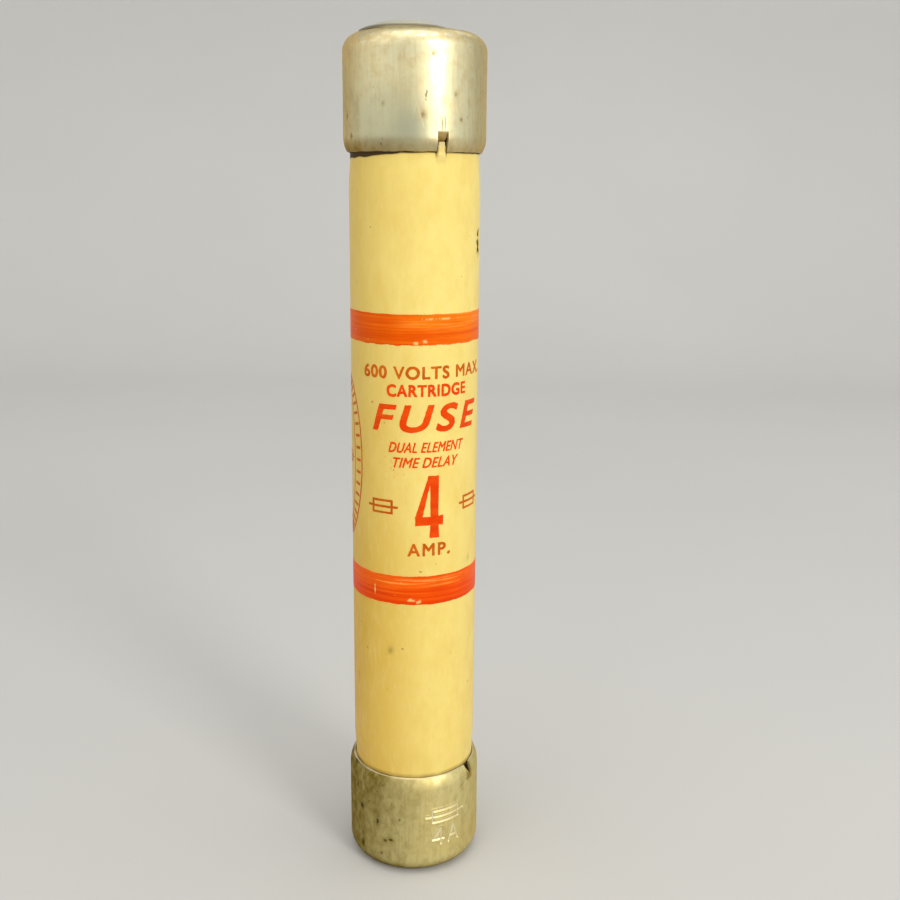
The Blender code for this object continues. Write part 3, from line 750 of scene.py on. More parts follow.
def ferrule(name, upper, notch_turn, finish, areas, rows, marks, scratches, seed):
    """A drawn cap with two staked notches, one closed wall with the tongues in one piece.

    areas and rows say where the mesh is finer, round the ferrule and along it.
    """
    windows = []
    for side in (0, 180):
        middle = float(turn_gap(notch_turn + side, 0))
        windows.append((middle - NOTCH_HALF_TURN, middle + NOTCH_HALF_TURN))
    near = [(a - 3, b + 3, 0.5) for a, b in windows] + [(a, b, 0.45) for a, b in windows]
    columns = stations(-180.0, 180.0, 1.6, near + areas)[:-1]
    rim_outer = FERRULE_LENGTH - LIP
    barrel = stations(CORNER, rim_outer, 0.3 * MM, [(NOTCH_INSET, rim_outer, 0.14 * MM)] + rows)
    shared = [inset for inset in barrel if inset >= NOTCH_INSET - 1e-9]
    outline, rim = ferrule_outline(barrel, shared)
    count = len(outline)

    turn, radius = np.meshgrid(columns, outline[:, 0], indexing="ij")
    inset = np.tile(outline[:, 1], (len(columns), 1))
    outer = np.tile(np.arange(count) <= rim, (len(columns), 1))
    barrel_share = smooth(inset, 0.3 * CORNER, CORNER)
    height, grime_and_shade, halo = damage(turn, inset, marks, scratches)
    height = height * barrel_share * outer
    if not upper:
        height += stamp(turn, inset) * barrel_share * outer
    wave = 0.018 * MM * ripple(turn, inset, seed) * barrel_share
    outwards, along = rim_waves(turn, inset, windows, seed)
    uneven = 0.012 * MM * np.clip(1 + ripple(turn, radius, seed + 3, 10, 5), 0, None)
    end_face = (1 - barrel_share) * outer * smooth(radius, HOLE_RADIUS, 1.4 * HOLE_RADIUS)
    inset = inset + along + end_face * uneven
    radius = radius + height + wave + outwards

    paint = ferrule_paint(turn, inset, outer, upper)
    paint["grime_and_shade"] = paint["grime_and_shade"] + grime_and_shade
    paint["stain_and_shade"] = paint["stain_and_shade"] + halo
    if not upper:
        # Painted highlights: the struck grooves of the mark are lightened.
        struck_and_highlight = smooth(-height, 0.25 * STAMP_DEPTH, 0.8 * STAMP_DEPTH)
        paint["brightened"] = paint["brightened"] + 0.8 * struck_and_highlight * outer * (stamp(turn, inset) < -0.2 * STAMP_DEPTH)

    place = FUSE_TOP - inset if upper else inset
    points = list(on_fuse(turn, radius, place).reshape(-1, 3))
    notch_outer, notch_inner = rim - len(shared), rim + len(shared)
    faces = []
    for number, face in enumerate(grid_faces(len(columns), count)):
        column, row = divmod(number, count)
        in_window = any(start - 1e-6 < columns[column] < end - 1e-6 for start, end in windows)
        if not (in_window and notch_outer <= row < notch_inner):
            faces.append(face)
    for window in windows:
        first, last = (int(np.argmin(np.abs(columns - edge))) for edge in window)
        for column in (first, last):
            start = column * count
            for step in range(len(shared) - 1):
                a, b = start + notch_outer + step, start + notch_inner - step
                faces.append((a, a + 1, b - 1, b))
            faces.append((start + rim - 1, start + rim, start + rim + 1))
        across = range(first, last + 1)
        loop = [column * count + notch_outer for column in across]
        loop += [column * count + notch_inner for column in reversed(across)]
        tongue(points, faces, loop, [columns[column] for column in across], upper)
    obj = mesh_from(name, points, faces, finish)
    for key, values in paint.items():
        point_values(obj, key, values, ON_TONGUES[key])
    drop_loose(obj)
    return casing(obj, "nickel", name.removesuffix("_shell"))


def tongue(points, faces, loop, turns, upper):
    """Carries the wall on from the notch's blind end as a strip bent into the tube.

    loop holds the points round that end, and turns are those across the notch.
    """
    steps = 9
    middle = (turns[0] + turns[-1]) / 2
    across = np.array([*turns, *reversed(turns)])
    side = np.repeat([1, -1], len(turns))
    for step in range(1, steps + 1):
        share = step / steps
        slope = math.atan2(TONGUE_DROP * 1.4 * max(share, 0.05) ** 0.4, TONGUE_REACH)
        half = side * (WALL * (1 - share) + TONGUE_TIP * share) / 2
        narrowed = middle + (across - middle) * (1 - 0.14 * share)
        curl = 0.06 * MM * np.sin(across * 9) * share
        radius = FERRULE_RADIUS - WALL / 2 - TONGUE_DROP * share**1.4 + half * math.cos(slope) + curl
        inset = NOTCH_INSET + TONGUE_REACH * share + half * math.sin(slope) * share
        ring = list(range(len(points), len(points) + len(across)))
        points.extend(on_fuse(narrowed, radius, FUSE_TOP - inset if upper else inset))
        for index in range(len(loop)):
            after = (index + 1) % len(loop)
            faces.append((loop[index], loop[after], ring[after], ring[index]))
        loop = ring
    for index in range(len(turns) - 1):
        faces.append((loop[index], loop[index + 1], loop[-2 - index], loop[-1 - index]))


ferrule(
    "upper_ferrule_shell",
    True,
    UPPER_NOTCH,
    upper_nickel,
    [(-78.0, 84.0, 0.7)],
    [(3.0 * MM, 15.0 * MM, 0.13 * MM)],
    UPPER_MARKS,
    UPPER_SCRATCHES,
    11,
)
ferrule(
    "lower_ferrule_shell",
    False,
    LOWER_NOTCH,
    lower_nickel,
    [(-78.0, 90.0, 0.8), (9.0, 53.0, 0.33)],
    [(3.0 * MM, 15.0 * MM, 0.16 * MM), (4.9 * MM, 11.3 * MM, 0.068 * MM)],
    LOWER_MARKS,
    LOWER_SCRATCHES,
    23,
)


# --- tube -----------------------------------------------------------------------------------


def tube_radius(turn, height):
    """The tube's outside without its pockets and damage; the printing follows it."""
    inset = np.minimum(height, FUSE_TOP - height)
    radius = NECK_RADIUS + (TUBE_RADIUS - NECK_RADIUS) * smooth(inset, NECK_END, NECK_END + NECK_BLEND)
    sway = 0.012 * MM * ripple(turn, height, 5, 10, 4, 120)
    return radius + sway * smooth(inset, NECK_END, NECK_END + NECK_BLEND)


SCUFF_TURN = 77
SCUFF_HEIGHT = 98.0 * MM
BURR_TURN = UPPER_NOTCH + 0.5
BURR_HEIGHT = FUSE_TOP - FERRULE_LENGTH + 0.1 * MM
BURR_HALF_TURN = 4.0
# A chip in the tube: turn, height and radius in degrees and millimetres
TUBE_CHIPS = ((-20, 37.5, 0.45), (60, 51.0, 0.3), (-62, 31.0, 0.35), (150, 70.0, 0.5), (-150, 28.0, 0.4))


def rough_field(turn, height, size, seed):
    """Fine broken noise, -1 to 1."""
    found = np.zeros(turn.size)
    for index, point in enumerate(on_fuse(turn, TUBE_RADIUS, height).reshape(-1, 3)):
        found[index] = noise.noise(Vector(point) / size + Vector((seed, 0, 0)))
    return found.reshape(turn.shape)


def scuff(turn, height, broken, coarse):
    """The torn patch high on the right: its change of radius, its grime and its pale fibre."""
    knock = hump(turn_gap(turn, SCUFF_TURN), 0, 6.5) * hump(height, SCUFF_HEIGHT, 2.0 * MM)
    torn = smooth(knock * (1 + 1.1 * broken + 0.8 * coarse), 0.30, 0.75)
    grime_and_shade = 0.95 * torn * smooth(broken + 0.6 * coarse, -0.35, 0.15)
    return -0.20 * MM * torn * (0.8 + 0.8 * broken), grime_and_shade, 0.6 * torn * smooth(-broken, 0.0, 0.3)


def burr(turn, height, radius, broken):
    """The strip of fibre pushed up at the upper notch: the new radius, its edges, and the strip."""
    beside = np.abs(turn_gap(turn, BURR_TURN + 0.3 * broken)) / BURR_HALF_TURN
    along = (height - BURR_HEIGHT) / MM
    reach = np.clip(0.85 + 0.5 * smooth(-along, 0, 1), 0, 1)
    strip = np.exp(-(beside**8)) * smooth(along, -1.9, -0.5) * (1 - smooth(along, 1.2, 1.5))
    raised = NECK_RADIUS + (0.40 * MM + 0.10 * MM * broken) * reach
    edge = hump(beside, 1.15, 0.17) * smooth(along, -1.1, -0.2) * (1 - smooth(along, 1.1, 1.5))
    radius = radius + (np.maximum(raised, radius) - radius) * strip - 0.10 * MM * edge
    return radius, edge, strip


def tube():
    """Laminated fibre tube: necked ends, pockets under the tongues, its knocks, and painted shadow and
    shade.
    """
    pockets = []
    for upper, notch in ((False, LOWER_NOTCH), (True, UPPER_NOTCH)):
        pockets += [(upper, float(turn_gap(notch + side, 0))) for side in (0, 180)]
    fine = [(turn - 8, turn + 8, 0.55) for _, turn in pockets]
    columns = stations(-180.0, 180.0, 1.5, fine + [(60.0, 96.0, 0.7), (-78.0, 60.0, 1.2)])[:-1]
    pocket_low, pocket_high, pocket_step = 13.2 * MM, 16.2 * MM, 0.16 * MM
    areas = [
        (pocket_low, pocket_high, pocket_step),
        (FUSE_TOP - pocket_high, FUSE_TOP - pocket_low, pocket_step),
        (94.6 * MM, 101.0 * MM, 0.22 * MM),
        (107.8 * MM, 112.4 * MM, 0.13 * MM),
    ]
    top = FUSE_TOP - TUBE_INSET
    chamfer = 0.3 * MM
    heights = stations(TUBE_INSET + chamfer, top - chamfer, 0.85 * MM, areas)

    turn, height = np.meshgrid(columns, heights, indexing="ij")
    radius = tube_radius(turn, height)
    inset = np.minimum(height, FUSE_TOP - height)
    upper_half = height > FUSE_TOP / 2
    # Painted shadow: a dark band on the tube just under the upper ferrule's rim, widest on the left; at the
    # lower end the band is moved under the rim, out of sight.
    rim_shadow_width = 0.12 * MM + 0.72 * MM * flank(-turn, -12, 75)
    rim_shadow_width = np.where(upper_half, rim_shadow_width * (1 + 0.08 * ripple(turn, 0, 97, 12, 24)), -0.2 * MM)
    grime_and_shade = 1.0 - smooth(inset - FERRULE_LENGTH, rim_shadow_width - 0.12 * MM, rim_shadow_width + 0.12 * MM)
    pale = np.zeros(turn.shape)
    for upper, middle in pockets:
        away = np.abs(turn_gap(turn, middle))
        beside = 1 - smooth(away, POCKET_TURN - 0.7, POCKET_TURN + 0.3)
        along = smooth(inset, 13.5 * MM, 13.7 * MM) * (1 - smooth(inset, 15.5 * MM, 15.75 * MM))
        hollow = (upper_half == upper) * beside * along
        radius -= POCKET_DEPTH * hollow
        pale += 0.5 * hollow
        grime_and_shade += 0.3 * hollow

    broken = rough_field(turn, height, 0.55 * MM, 3)
    coarse = rough_field(turn, height, 1.6 * MM, 8)
    deeper, dirtier, paler = scuff(turn, height, broken, coarse)
    radius += deeper
    grime_and_shade += dirtier
    radius, edge, strip = burr(turn, height, radius, broken)
    # The strip's torn edges are darkened: partly dirt, partly painted shade beside the lifted strip.
    grime_and_shade = (grime_and_shade + 0.85 * edge) * (1 - 0.9 * strip)
    pale += paler + 0.2 * strip
    for middle, at, size in TUBE_CHIPS:
        across = np.radians(turn_gap(turn, middle)) * TUBE_RADIUS / MM
        chip = hump(np.hypot(across, height / MM - at), 0, size)
        radius -= 0.03 * MM * chip
        grime_and_shade += 0.4 * chip

    # Painted shade together with uneven yellowing: deeper, darker amber on the left, at the right edge and
    # lower down.
    amber_and_shade = 0.38 * flank(-turn, -15, 85) + 0.2 * flank(turn, 60, 110)
    lower_down = 1 - smooth(height, 20 * MM, 110 * MM)
    amber_and_shade += (0.18 + 0.42 * flank(-turn, -25, 30)) * lower_down

    neck = NECK_RADIUS - chamfer
    ends = [(neck, top), (BORE, top), (BORE, TUBE_INSET), (neck, TUBE_INSET)]
    inside = np.tile(np.array(ends), (len(columns), 1, 1))
    section = np.concatenate([np.stack([radius, height], axis=-1), inside], axis=1)
    points = on_fuse(columns[:, None], section[..., 0], section[..., 1])
    faces = grid_faces(*points.shape[:2])
    obj = mesh_from("varnished_tube", points.reshape(-1, 3), faces, fibre, 50)
    unpainted = np.zeros((len(columns), len(ends)))
    for key, values in (("grime_and_shade", grime_and_shade), ("pale", pale), ("amber_and_shade", amber_and_shade)):
        point_values(obj, key, np.concatenate([values, unpainted], axis=1))
    return casing(obj, "fibre_tube", "fibre_tube")


tube()


# --- printing -------------------------------------------------------------------------------


def band(name, low, high, finish, seed, chips):
    """An ink band rolled right round the tube, with uneven edges, thin streaks and chips."""
    columns = np.arange(0, 360, 0.5)
    across = np.linspace(0, 1, 21)
    waves = [ripple(columns, 0, seed + index, 14, lobes) for index, lobes in enumerate((24, 150, 24, 150))]
    low_edge = low + MM * (0.04 * waves[0] + 0.03 * waves[1])
    high_edge = high + MM * (0.025 * waves[2] + 0.015 * waves[3])
    height = low_edge[:, None] * (1 - across) + high_edge[:, None] * across
    turn = np.tile(columns[:, None], (1, len(across)))
    surface = tube_radius(turn, height)
    film = INK_PROUD * np.where((across > 0) & (across < 1), 1.0, 0.4)
    outer = on_fuse(turn, surface + film, height)
    inner = on_fuse(turn, surface - INK_SUNK, height)[:, ::-1]
    points = np.concatenate([outer, inner], axis=1)
    obj = mesh_from(name, points.reshape(-1, 3), grid_faces(*points.shape[:2]), finish)

    height = np.concatenate([height, height[:, ::-1]], axis=1)
    turn = np.concatenate([turn, turn], axis=1)
    up = (height - low) / (high - low)
    thin = 0.75 * smooth(up, 0.35, 0.75) * (0.55 + 0.45 * ripple(turn, 0 * height, seed + 4, 8, 3))
    rubbed = hump(turn_gap(turn, 25), 0, 28) * hump(up, 0.78, 0.16)
    point_values(obj, "thin", thin + 0.5 * rubbed)
    chipped = np.zeros(turn.shape)
    broken = rough_field(turn, height, 0.4 * MM, seed)
    for middle, at, wide, tall in chips:
        away = np.hypot(turn_gap(turn, middle) / wide, (up - at) / tall)
        chipped += 1 - smooth(away + 0.5 * broken, 0.5, 1.1)
    point_values(obj, "chipped", 0.85 * chipped)
    return casing(obj)


def cut_into_strips(bm, step):
    """Cuts a flat shape on a grid, so that it can follow the tube."""
    for axis in (0, 1):
        low = min(vert.co[axis] for vert in bm.verts)
        high = max(vert.co[axis] for vert in bm.verts)
        normal = Vector((1 - axis, axis, 0))
        for index in range(1, math.ceil((high - low) / step)):
            plane = Vector((0, 0, 0))
            plane[axis] = low + index * step
            geometry = bm.verts[:] + bm.edges[:] + bm.faces[:]
            bmesh.ops.bisect_plane(bm, geom=geometry, plane_co=plane, plane_no=normal, dist=1e-8)


def printed(bm, name, middle, height, finish, seed=0, ragged=0.045 * MM, step=0.25 * MM):
    """A flat shape round (0, 0) printed on the tube as a thin closed film of ink."""
    bmesh.ops.remove_doubles(bm, verts=bm.verts, dist=1e-6)
    cut_into_strips(bm, step)
    bmesh.ops.dissolve_degenerate(bm, dist=0.004 * MM, edges=bm.edges)
    rim = [vert for vert in bm.verts if vert.is_boundary]
    bmesh.ops.smooth_vert(bm, verts=rim, factor=0.25, use_axis_x=True, use_axis_y=True)
    for vert in rim:
        drift = noise.noise_vector(vert.co / (0.28 * MM) + Vector((seed, height / MM, 0)))
        vert.co += Vector((drift.x, drift.y, 0)) * ragged
    bm.verts.index_update()
    flat = np.array([(vert.co.x, vert.co.y) for vert in bm.verts])
    turn = np.degrees((flat[:, 0] + middle) / TUBE_RADIUS)
    up = flat[:, 1] + height
    surface = tube_radius(turn, up)
    total = len(flat)
    points = np.concatenate([on_fuse(turn, surface + INK_PROUD, up), on_fuse(turn, surface - INK_SUNK, up)])
    faces = []
    for face in bm.faces:
        ids = [vert.index for vert in face.verts]
        faces.append(ids)
        faces.append([index + total for index in reversed(ids)])
    for edge in bm.edges:
        if edge.is_boundary:
            a, b = (vert.index for vert in edge.verts)
            faces.append((a, b, b + total, a + total))
    bm.free()
    return casing(mesh_from(name, points, faces, finish))


def fit(bm, width, height):
    """Scales a flat shape to this size, round its own middle."""
    xs = [vert.co.x for vert in bm.verts]
    ys = [vert.co.y for vert in bm.verts]
    middle = Vector(((min(xs) + max(xs)) / 2, (min(ys) + max(ys)) / 2, 0))
    bmesh.ops.translate(bm, vec=-middle, verts=bm.verts)
    size = (width / (max(xs) - min(xs)), height / (max(ys) - min(ys)), 1)
    bmesh.ops.scale(bm, vec=size, verts=bm.verts)
    return bm


def lettering(text, width, height, bold=0.0, slant=0.0, spacing=1.0):
    """Letters as a flat shape of this width and capital height."""
    curve = bpy.data.curves.new("lettering", "FONT")
    curve.body = text
    curve.shear = slant
    curve.space_character = spacing
    curve.resolution_u = 5
    holder = bpy.data.objects.new("lettering", curve)
    bpy.context.scene.collection.objects.link(holder)
    graph = bpy.context.evaluated_depsgraph_get()
    mesh = bpy.data.meshes.new_from_object(holder.evaluated_get(graph))
    bm = bmesh.new()
    bm.from_mesh(mesh)
    bpy.data.objects.remove(holder)
    bpy.data.curves.remove(curve)
    bpy.data.meshes.remove(mesh)
    bmesh.ops.remove_doubles(bm, verts=bm.verts, dist=1e-5)
    fit(bm, width, height)
    embolden(bm, bold)
    return fit(bm, width, height)


def embolden(bm, amount):
    """Moves a flat shape's outline outwards."""
    moves = {}
    for edge in bm.edges:
        if edge.is_boundary:
            start, end = edge.verts
            along = (end.co - start.co).normalized()
            outward = Vector((along.y, -along.x, 0))
            if outward.dot(edge.link_faces[0].calc_center_median() - start.co) > 0:
                outward.negate()
            for vert in edge.verts:
                moves[vert] = moves.get(vert, Vector()) + outward
    for vert, move in moves.items():
        vert.co += move.normalized() * amount


def shape(*loops):
    """A flat shape from closed outlines; an outline inside another is a hole."""
    bm = bmesh.new()
    edges = []
    for loop in loops:
        verts = [bm.verts.new((x, y, 0)) for x, y in loop]
        edges += [bm.edges.new(pair) for pair in zip(verts, verts[1:] + verts[:1])]
    bmesh.ops.triangle_fill(bm, edges=edges, use_beauty=True)
    return bm


def rectangle(width, height, x=0.0, y=0.0):
    a, b = width / 2, height / 2
    return [(x - a, y - b), (x + a, y - b), (x + a, y + b), (x - a, y + b)]


def oval(width, height, count=96):
    turns = [math.tau * index / count for index in range(count)]
    return [(width / 2 * math.cos(t), height / 2 * math.sin(t)) for t in turns]


def join(first, *others):
    for other in others:
        mesh = bpy.data.meshes.new("part")
        other.to_mesh(mesh)
        other.free()
        first.from_mesh(mesh)
        bpy.data.meshes.remove(mesh)
    return first


def fuse_symbol(width, height, line):
    """The plain circuit-diagram sign for a fuse: a box with its lead running through."""
    inner_width, inner_height = width - 2 * line, height - 2 * line
    half = (inner_height - line) / 2
    lead = 0.22 * width
    upper = rectangle(inner_width, half, y=(half + line) / 2)
    lower = rectangle(inner_width, half, y=-(half + line) / 2)
    box = shape(rectangle(width, height), upper, lower)
    ends = [shape(rectangle(lead, line, x=side * (width + lead) / 2)) for side in (-1, 1)]
    return join(box, *ends)


def numeral_four(width, height):
    """A tall, narrow, heavy 4."""
    outer = [
        (0.46, 1.0), (0.84, 1.0), (0.82, 0.35), (1.0, 0.365), (1.0, 0.20), (0.83, 0.21),
        (0.86, 0.0), (0.50, 0.0), (0.53, 0.21), (0.0, 0.205), (0.0, 0.335),
    ]
    counter = [(0.52, 0.86), (0.53, 0.345), (0.26, 0.345)]
    return fit(shape(outer, counter), width, height)


def seal(width, height):
    """A plain oval border: two lines with a ring of ticks between them."""
    line, inner_line = 0.26 * MM, 0.16 * MM
    gap = 2.3 * MM
    border = shape(oval(width, height), oval(width - 2 * line, height - 2 * line))
    inner = shape(
        oval(width - 2 * gap, height - 2 * gap),
        oval(width - 2 * gap - 2 * inner_line, height - 2 * gap - 2 * inner_line),
    )
    ticks = []
    count = 38
    for index in range(count):
        turn = math.tau * index / count
        tick = shape(rectangle(1.3 * MM, 0.42 * MM))
        normal = math.atan2(math.sin(turn) / height, math.cos(turn) / width)
        at = ((width - gap) / 2 * math.cos(turn), (height - gap) / 2 * math.sin(turn), 0)
        place = Matrix.Translation(at) @ Matrix.Rotation(normal, 4, "Z")
        bmesh.ops.transform(tick, matrix=place, verts=tick.verts)
        ticks.append(tick)
    return join(border, inner, *ticks)


# A chip: turn, place up the band, and its half-width in degrees and half-height in band heights
UPPER_CHIPS = ((3, 0.07, 3.0, 0.07), (11, 0.13, 4, 0.03), (24, 0.84, 16, 0.02))
LOWER_CHIPS = ((-1, 0.16, 4, 0.05), (6, 0.10, 3, 0.06), (-36, 0.4, 1.0, 0.2))
band("upper_band", *UPPER_BAND, upper_ink, 31, UPPER_CHIPS)
band("lower_band", *LOWER_BAND, lower_ink, 47, LOWER_CHIPS)

# name, text, middle along the surface, height, width, capital height, boldness, slant, spacing, ink
LINES = (
    ("print_rating", "600 VOLTS MAX.", -0.1, 79.95, 21.2, 1.95, 0.105, 0.0, 1.12, thin_ink),
    ("print_kind", "CARTRIDGE", -0.3, 77.35, 12.6, 1.9, 0.12, 0.0, 1.10, bold_ink),
    ("print_name", "FUSE", 0.0, 73.3, 18.0, 4.2, 0.20, 0.25, 1.25, bold_ink),
    ("print_element", "DUAL ELEMENT", -0.35, 69.0, 12.0, 1.6, 0.07, 0.35, 1.05, bold_ink),
    ("print_delay", "TIME DELAY", -0.5, 66.75, 10.2, 1.6, 0.07, 0.35, 1.05, bold_ink),
    ("print_unit", "AMP.", -0.15, 53.45, 6.7, 2.05, 0.11, 0.0, 1.2, thin_ink),
)
for name, text, middle, height, width, capital, bold, slant, spacing, finish in LINES:
    letters = lettering(text, width * MM, capital * MM, bold * MM, slant, spacing)
    printed(letters, name, LABEL_MIDDLE + middle * MM, height * MM, finish, len(text))

number = numeral_four(4.3 * MM, 9.5 * MM)
printed(number, "print_number", LABEL_MIDDLE - 0.2 * MM, 60.0 * MM, bold_ink, 2)
SIGN_HEIGHT = 59.9 * MM
for side, middle in (("left", -7.4), ("right", 7.4)):
    sign = fuse_symbol(3.5 * MM, 2.2 * MM, 0.36 * MM)
    printed(sign, f"print_symbol_{side}", LABEL_MIDDLE + middle * MM, SIGN_HEIGHT, thin_ink, 4)
SEAL_MIDDLE = -13.95 * MM
SEAL_HEIGHT = 66.0 * MM
printed(seal(10.6 * MM, 25.0 * MM), "print_seal", SEAL_MIDDLE, SEAL_HEIGHT, thin_ink, 6, 0.03 * MM)
sign = fuse_symbol(3.3 * MM, 1.7 * MM, 0.22 * MM)
printed(sign, "print_seal_symbol", SEAL_MIDDLE, SEAL_HEIGHT, thin_ink, 7, 0.03 * MM)


def ink_specks():
    """Stray specks of ink beside the lettering, and dark specks in the varnish."""
    draw = np.random.default_rng(17)
    stray = bmesh.new()
    for _ in range(26):
        x = draw.normal(-6.0, 0.9) * MM
        y = draw.uniform(-3.2, 3.2) * MM
        size = draw.uniform(0.07, 0.17) * MM
        speck = shape(oval(size, size * draw.uniform(0.7, 1.3), 8))
        bmesh.ops.translate(speck, vec=(x, y, 0), verts=speck.verts)
        join(stray, speck)
    printed(stray, "print_specks", LABEL_MIDDLE, 67.2 * MM, bold_ink, 9, 0.01 * MM, 3 * MM)


ink_specks()


# --- solder ---------------------------------------------------------------------------------


def solder_dome():
    """The solder over the upper hole: a low uneven dome that ran to one side, with a stem."""
    low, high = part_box("solder_button")
    middle = (low + high) / 2
    reach = (high.x - low.x) / 2
    base = FUSE_TOP + 0.03 * MM
    turns = np.arange(0, 360, 2.5)
    share, turn = np.meshgrid(np.linspace(0, 1, 34)[1:], turns, indexing="ij")
    radius = reach * share * (1 + 0.035 * ripple(turn, 0 * share, 61, 8, 6))
    flow = ripple(turn, radius, 71, 9, 5, 900) * np.sin(math.pi * share)
    dome = 0.12 + 0.88 * (1 - share**2.2) - 0.045 * hump(share, 0.76, 0.05)
    height = base + (high.z - base) * np.clip(dome, 0, 1) + 0.03 * MM * flow * share * (1 - share)
    height[-1] = base
    rings = list(on_fuse(turn, radius, height) + np.array([middle.x, middle.y, 0]))

    stem = HOLE_RADIUS - 0.3 * MM
    stem_low = FUSE_TOP - WALL
    bevel = 0.15 * MM
    for ring_radius, ring_height in ((stem, base), (stem, stem_low + bevel), (stem - bevel, stem_low)):
        rings.append(on_fuse(turns, ring_radius, ring_height))
    total = len(turns)
    ends = np.array([(middle.x, middle.y, high.z), (0, 0, stem_low)])
    points = np.concatenate([*rings, ends])
    crown, foot = len(points) - 2, len(points) - 1
    last_ring = (len(rings) - 1) * total
    faces = grid_faces(len(rings), total, joined=False)
    for column in range(total):
        beside = (column + 1) % total
        faces.append((crown, column, beside))
        faces.append((last_ring + column, foot, last_ring + beside))
    obj = mesh_from("solder_dome", points, faces, dome_solder, 60)
    # Darker towards the dome's edge, where it meets the end face.
    point_values(obj, "grime_and_shade", 0.85 * smooth(share, 0.80, 0.95))
    return casing(obj, "solder", "solder_button")


def solder_fill():
    """The solder in the lower hole: a slightly sunk, wrinkled plug."""
    low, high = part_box("solder_plug")
    turns = np.arange(0, 360, 6)
    # Shares of the plug's radius and height, from the middle of its sunk face round to its top
    sunk_face = [(0.25, 0.22), (0.5, 0.20), (0.7, 0.15), (0.85, 0.08)]
    side = [(0.95, 0.02), (1.0, 0.08), (1.0, 0.9), (0.93, 1.0), (0.5, 1.0)]
    rings = []
    for share, up in sunk_face + side:
        wrinkle = 1 + 0.35 * ripple(turns, share * MM, 83, 6, 5) * (share < 0.9)
        shares = np.clip(up * (wrinkle if up < 0.3 else 1), 0, 1)
        rings.append(on_fuse(turns, share * high.x, low.z + (high.z - low.z) * shares))
    obj = stack_of_rings("solder_fill", rings, solder, 60)
    return casing(obj, "solder", "solder_plug")


solder_dome()
solder_fill()


# --- inside ---------------------------------------------------------------------------------


def coil(name, node, wire, turns, finish):
    """A round wire wound between the CAD coil's ends, its ends ground round."""
    low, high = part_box(node)
    radius = high.x - wire / 2
    rise = high.z - low.z - wire
    per_turn, sides = 40, 12
    count = turns * per_turn
    slope = rise / (turns * math.tau)
    rings = []
    for index in range(count + 1):
        angle = math.tau * turns * index / count
        outward = Vector((math.cos(angle), math.sin(angle), 0))
        along = Vector((-radius * math.sin(angle), radius * math.cos(angle), slope)).normalized()
        across = along.cross(outward)
        centre = outward * radius + Vector((0, 0, low.z + wire / 2 + rise * index / count))
        from_end = min(index, count - index)
        shrink = (0.72, 0.94)[from_end] if from_end < 2 else 1.0
        spokes = [math.tau * side / sides for side in range(sides)]
        offsets = [(outward * math.cos(turn) + across * math.sin(turn)) * wire / 2 for turn in spokes]
        rings.append([centre + offset * shrink for offset in offsets])
    return stack_of_rings(name, rings, finish)


HEATER_WIRE = 0.45 * MM
HEATER_TURNS = 11
SPRING_WIRE = 0.5 * MM
SPRING_TURNS = 5
winding = coil("heater_winding", "heater_coil", HEATER_WIRE, HEATER_TURNS, heater_wire)
casing(winding, "resistance_wire", "heater_coil")

spring = coil("trigger_coil_spring", "trigger_spring", SPRING_WIRE, SPRING_TURNS, spring_wire)
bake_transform(spring)
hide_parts("trigger_spring")

# slot: finish, then the nodes that have it
FINISHES = {
    "vulcanised_fibre": (
        red_fibre,
        "upper_end_washer",
        "lower_end_washer",
        "upper_barrier_disc",
        "lower_barrier_disc",
    ),
    "paper": (grey_paper, "upper_seal_disc", "lower_seal_disc", "chamber_liner"),
    "sand": (packed_sand, "upper_sand", "lower_sand"),
    "copper": (copper, "upper_link", "lower_link", "trigger_plunger"),
    "brass": (
        brass,
        "lower_eyelet",
        "heat_absorber",
        "spring_seat_washer",
        "plunger_collar",
        "contact_sleeve",
    ),
    "ceramic": (white_ceramic, "heater_core"),
    "solder": (solder, "fusible_alloy"),
}
FLAT_PIECES = ("upper_link", "lower_link")
ON_TRIGGER = ("trigger_plunger", "plunger_collar")


def spread(vert):
    return math.hypot(vert.co.x, vert.co.y)


def refined(name, finish):
    """A piece of the inside with its round stretches made rounder and its edges broken."""
    bm = bmesh.new()
    bm.from_mesh(nodes[name].data)
    bmesh.ops.remove_doubles(bm, verts=bm.verts, dist=1e-6)
    bmesh.ops.dissolve_limit(bm, angle_limit=math.radians(1), verts=bm.verts, edges=bm.edges)
    known = [(vert.co.z, spread(vert)) for vert in bm.verts]
    hoops = []
    for edge in bm.edges:
        a, b = edge.verts
        level = abs(a.co.z - b.co.z) < 1e-6 and abs(spread(a) - spread(b)) < 2e-6
        if level and edge.calc_length() < 0.6 * spread(a):
            hoops.append(edge)
    before = set(bm.verts)
    bmesh.ops.subdivide_edges(bm, edges=hoops, cuts=2)
    for vert in set(bm.verts) - before:
        here = spread(vert)
        above = [r for z, r in known if abs(z - vert.co.z) < 1e-6 and here < r < 1.04 * here]
        if above:
            vert.co.xy *= min(above) / here
    sharp = [edge for edge in bm.edges if edge.calc_face_angle(0) > math.radians(50)]
    bmesh.ops.bevel(
        bm, geom=sharp, offset=0.06 * MM, segments=2, profile=0.5, affect="EDGES", clamp_overlap=True
    )
    bmesh.ops.triangulate(bm, faces=[face for face in bm.faces if len(face.verts) > 4])
    piece = object_from(bm, f"{name}_finished", finish, 40)
    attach(piece, "trigger" if name in ON_TRIGGER else "casing")
    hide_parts(name)


for slot, (finish, *names) in FINISHES.items():
    for name in names:
        if name in FLAT_PIECES:
            nodes[name].data.materials.clear()
            nodes[name].data.materials.append(finish)
        else:
            refined(name, finish)


# --- stage ----------------------------------------------------------------------------------


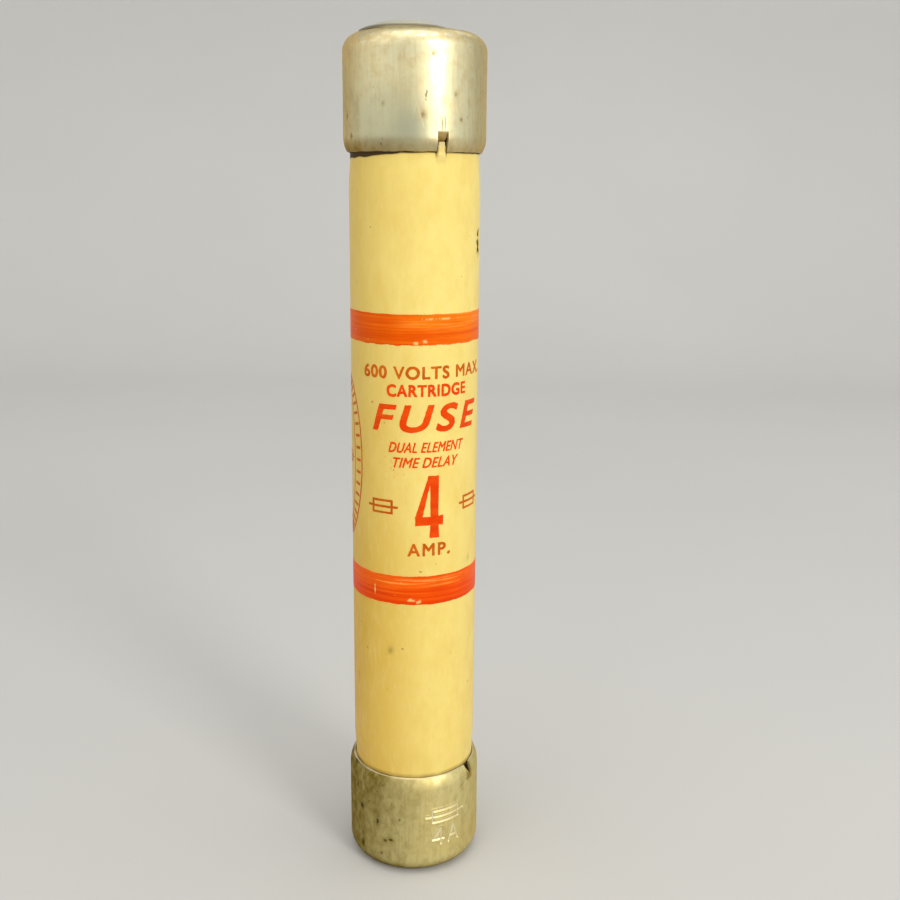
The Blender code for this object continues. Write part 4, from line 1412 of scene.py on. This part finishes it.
def plain_material(name, colour):
    def draw(tree, shader):
        cloud = grain(tree, (6, 6, 6), 3, 0.5)
        shade = mix(tree, between(tree, cloud, 0.3, 0.7), colour, scaled(colour, 0.97))
        feed(tree, shader, colour=shade)

    return new_material(name, colour, 0.85, 0.0, draw)


def sweep():
    """A pale floor that curves up into the backdrop."""
    wide, near, far, tall, bend = 3.0, -1.6, 0.62, 1.8, 0.22
    steps = 24
    outline = [(near, 0.0), (far - bend, 0.0)]
    for index in range(1, steps + 1):
        angle = math.pi / 2 * index / steps
        outline.append((far - bend + bend * math.sin(angle), bend - bend * math.cos(angle)))
    outline.append((far, tall))
    points = [(side * wide, y, z) for y, z in outline for side in (-1, 1)]
    faces = [(2 * i, 2 * i + 1, 2 * i + 3, 2 * i + 2) for i in range(len(outline) - 1)]
    obj = mesh_from("floor_sweep", points, faces, plain_material("pale_floor", (0.62, 0.62, 0.61)), 80)


def area_light(name, turn, elevation, distance, size, power, colour=(1, 1, 1), aim=0.6):
    light = bpy.data.lights.new(name, "AREA")
    light.shape = "RECTANGLE"
    light.size, light.size_y = size
    light.energy = power
    light.color = colour
    obj = bpy.data.objects.new(name, light)
    bpy.context.scene.collection.objects.link(obj)
    target = Vector((0, 0, FUSE_TOP * aim))
    angle, lift = math.radians(turn), math.radians(elevation)
    away = Vector((math.sin(angle) * math.cos(lift), -math.cos(angle) * math.cos(lift), math.sin(lift)))
    obj.location = target + away * distance
    obj.rotation_euler = (-away).to_track_quat("-Z", "Y").to_euler()


def world():
    made = bpy.data.worlds.new("studio")
    made.use_nodes = True
    made.node_tree.nodes["Background"].inputs["Color"].default_value = (1.0, 0.98, 0.94, 1)
    made.node_tree.nodes["Background"].inputs["Strength"].default_value = 0.79
    bpy.context.scene.world = made


def camera():
    """The view: a little above the fuse, near it, with its axis left of the picture's middle."""
    eye = (0.0054, -0.1603, 0.1069)
    look_down = 12.175
    roll = 0.0083
    data = bpy.data.cameras.new("camera")
    data.sensor_width = 36
    data.lens = 43.07
    data.shift_y = -0.0423
    data.clip_start, data.clip_end = 0.01, 20
    obj = bpy.data.objects.new("camera", data)
    tilt = Matrix.Rotation(math.radians(90 - look_down), 4, "X")
    obj.matrix_world = Matrix.Translation(eye) @ tilt @ Matrix.Rotation(roll, 4, "Z")
    bpy.context.scene.collection.objects.link(obj)
    bpy.context.scene.camera = obj


sweep()
world()
area_light("key", 38, 20, 0.60, (0.15, 0.40), 1.55, (1.0, 0.97, 0.90))
area_light("fill", -50, 30, 0.9, (0.7, 0.7), 0.5, (1, 0.93, 0.80))
area_light("top", 10, 78, 0.7, (0.6, 0.5), 1.0)
area_light("back", 165, 40, 0.9, (0.6, 0.5), 0.8)
camera()
bpy.context.scene.view_settings.view_transform = "Standard"
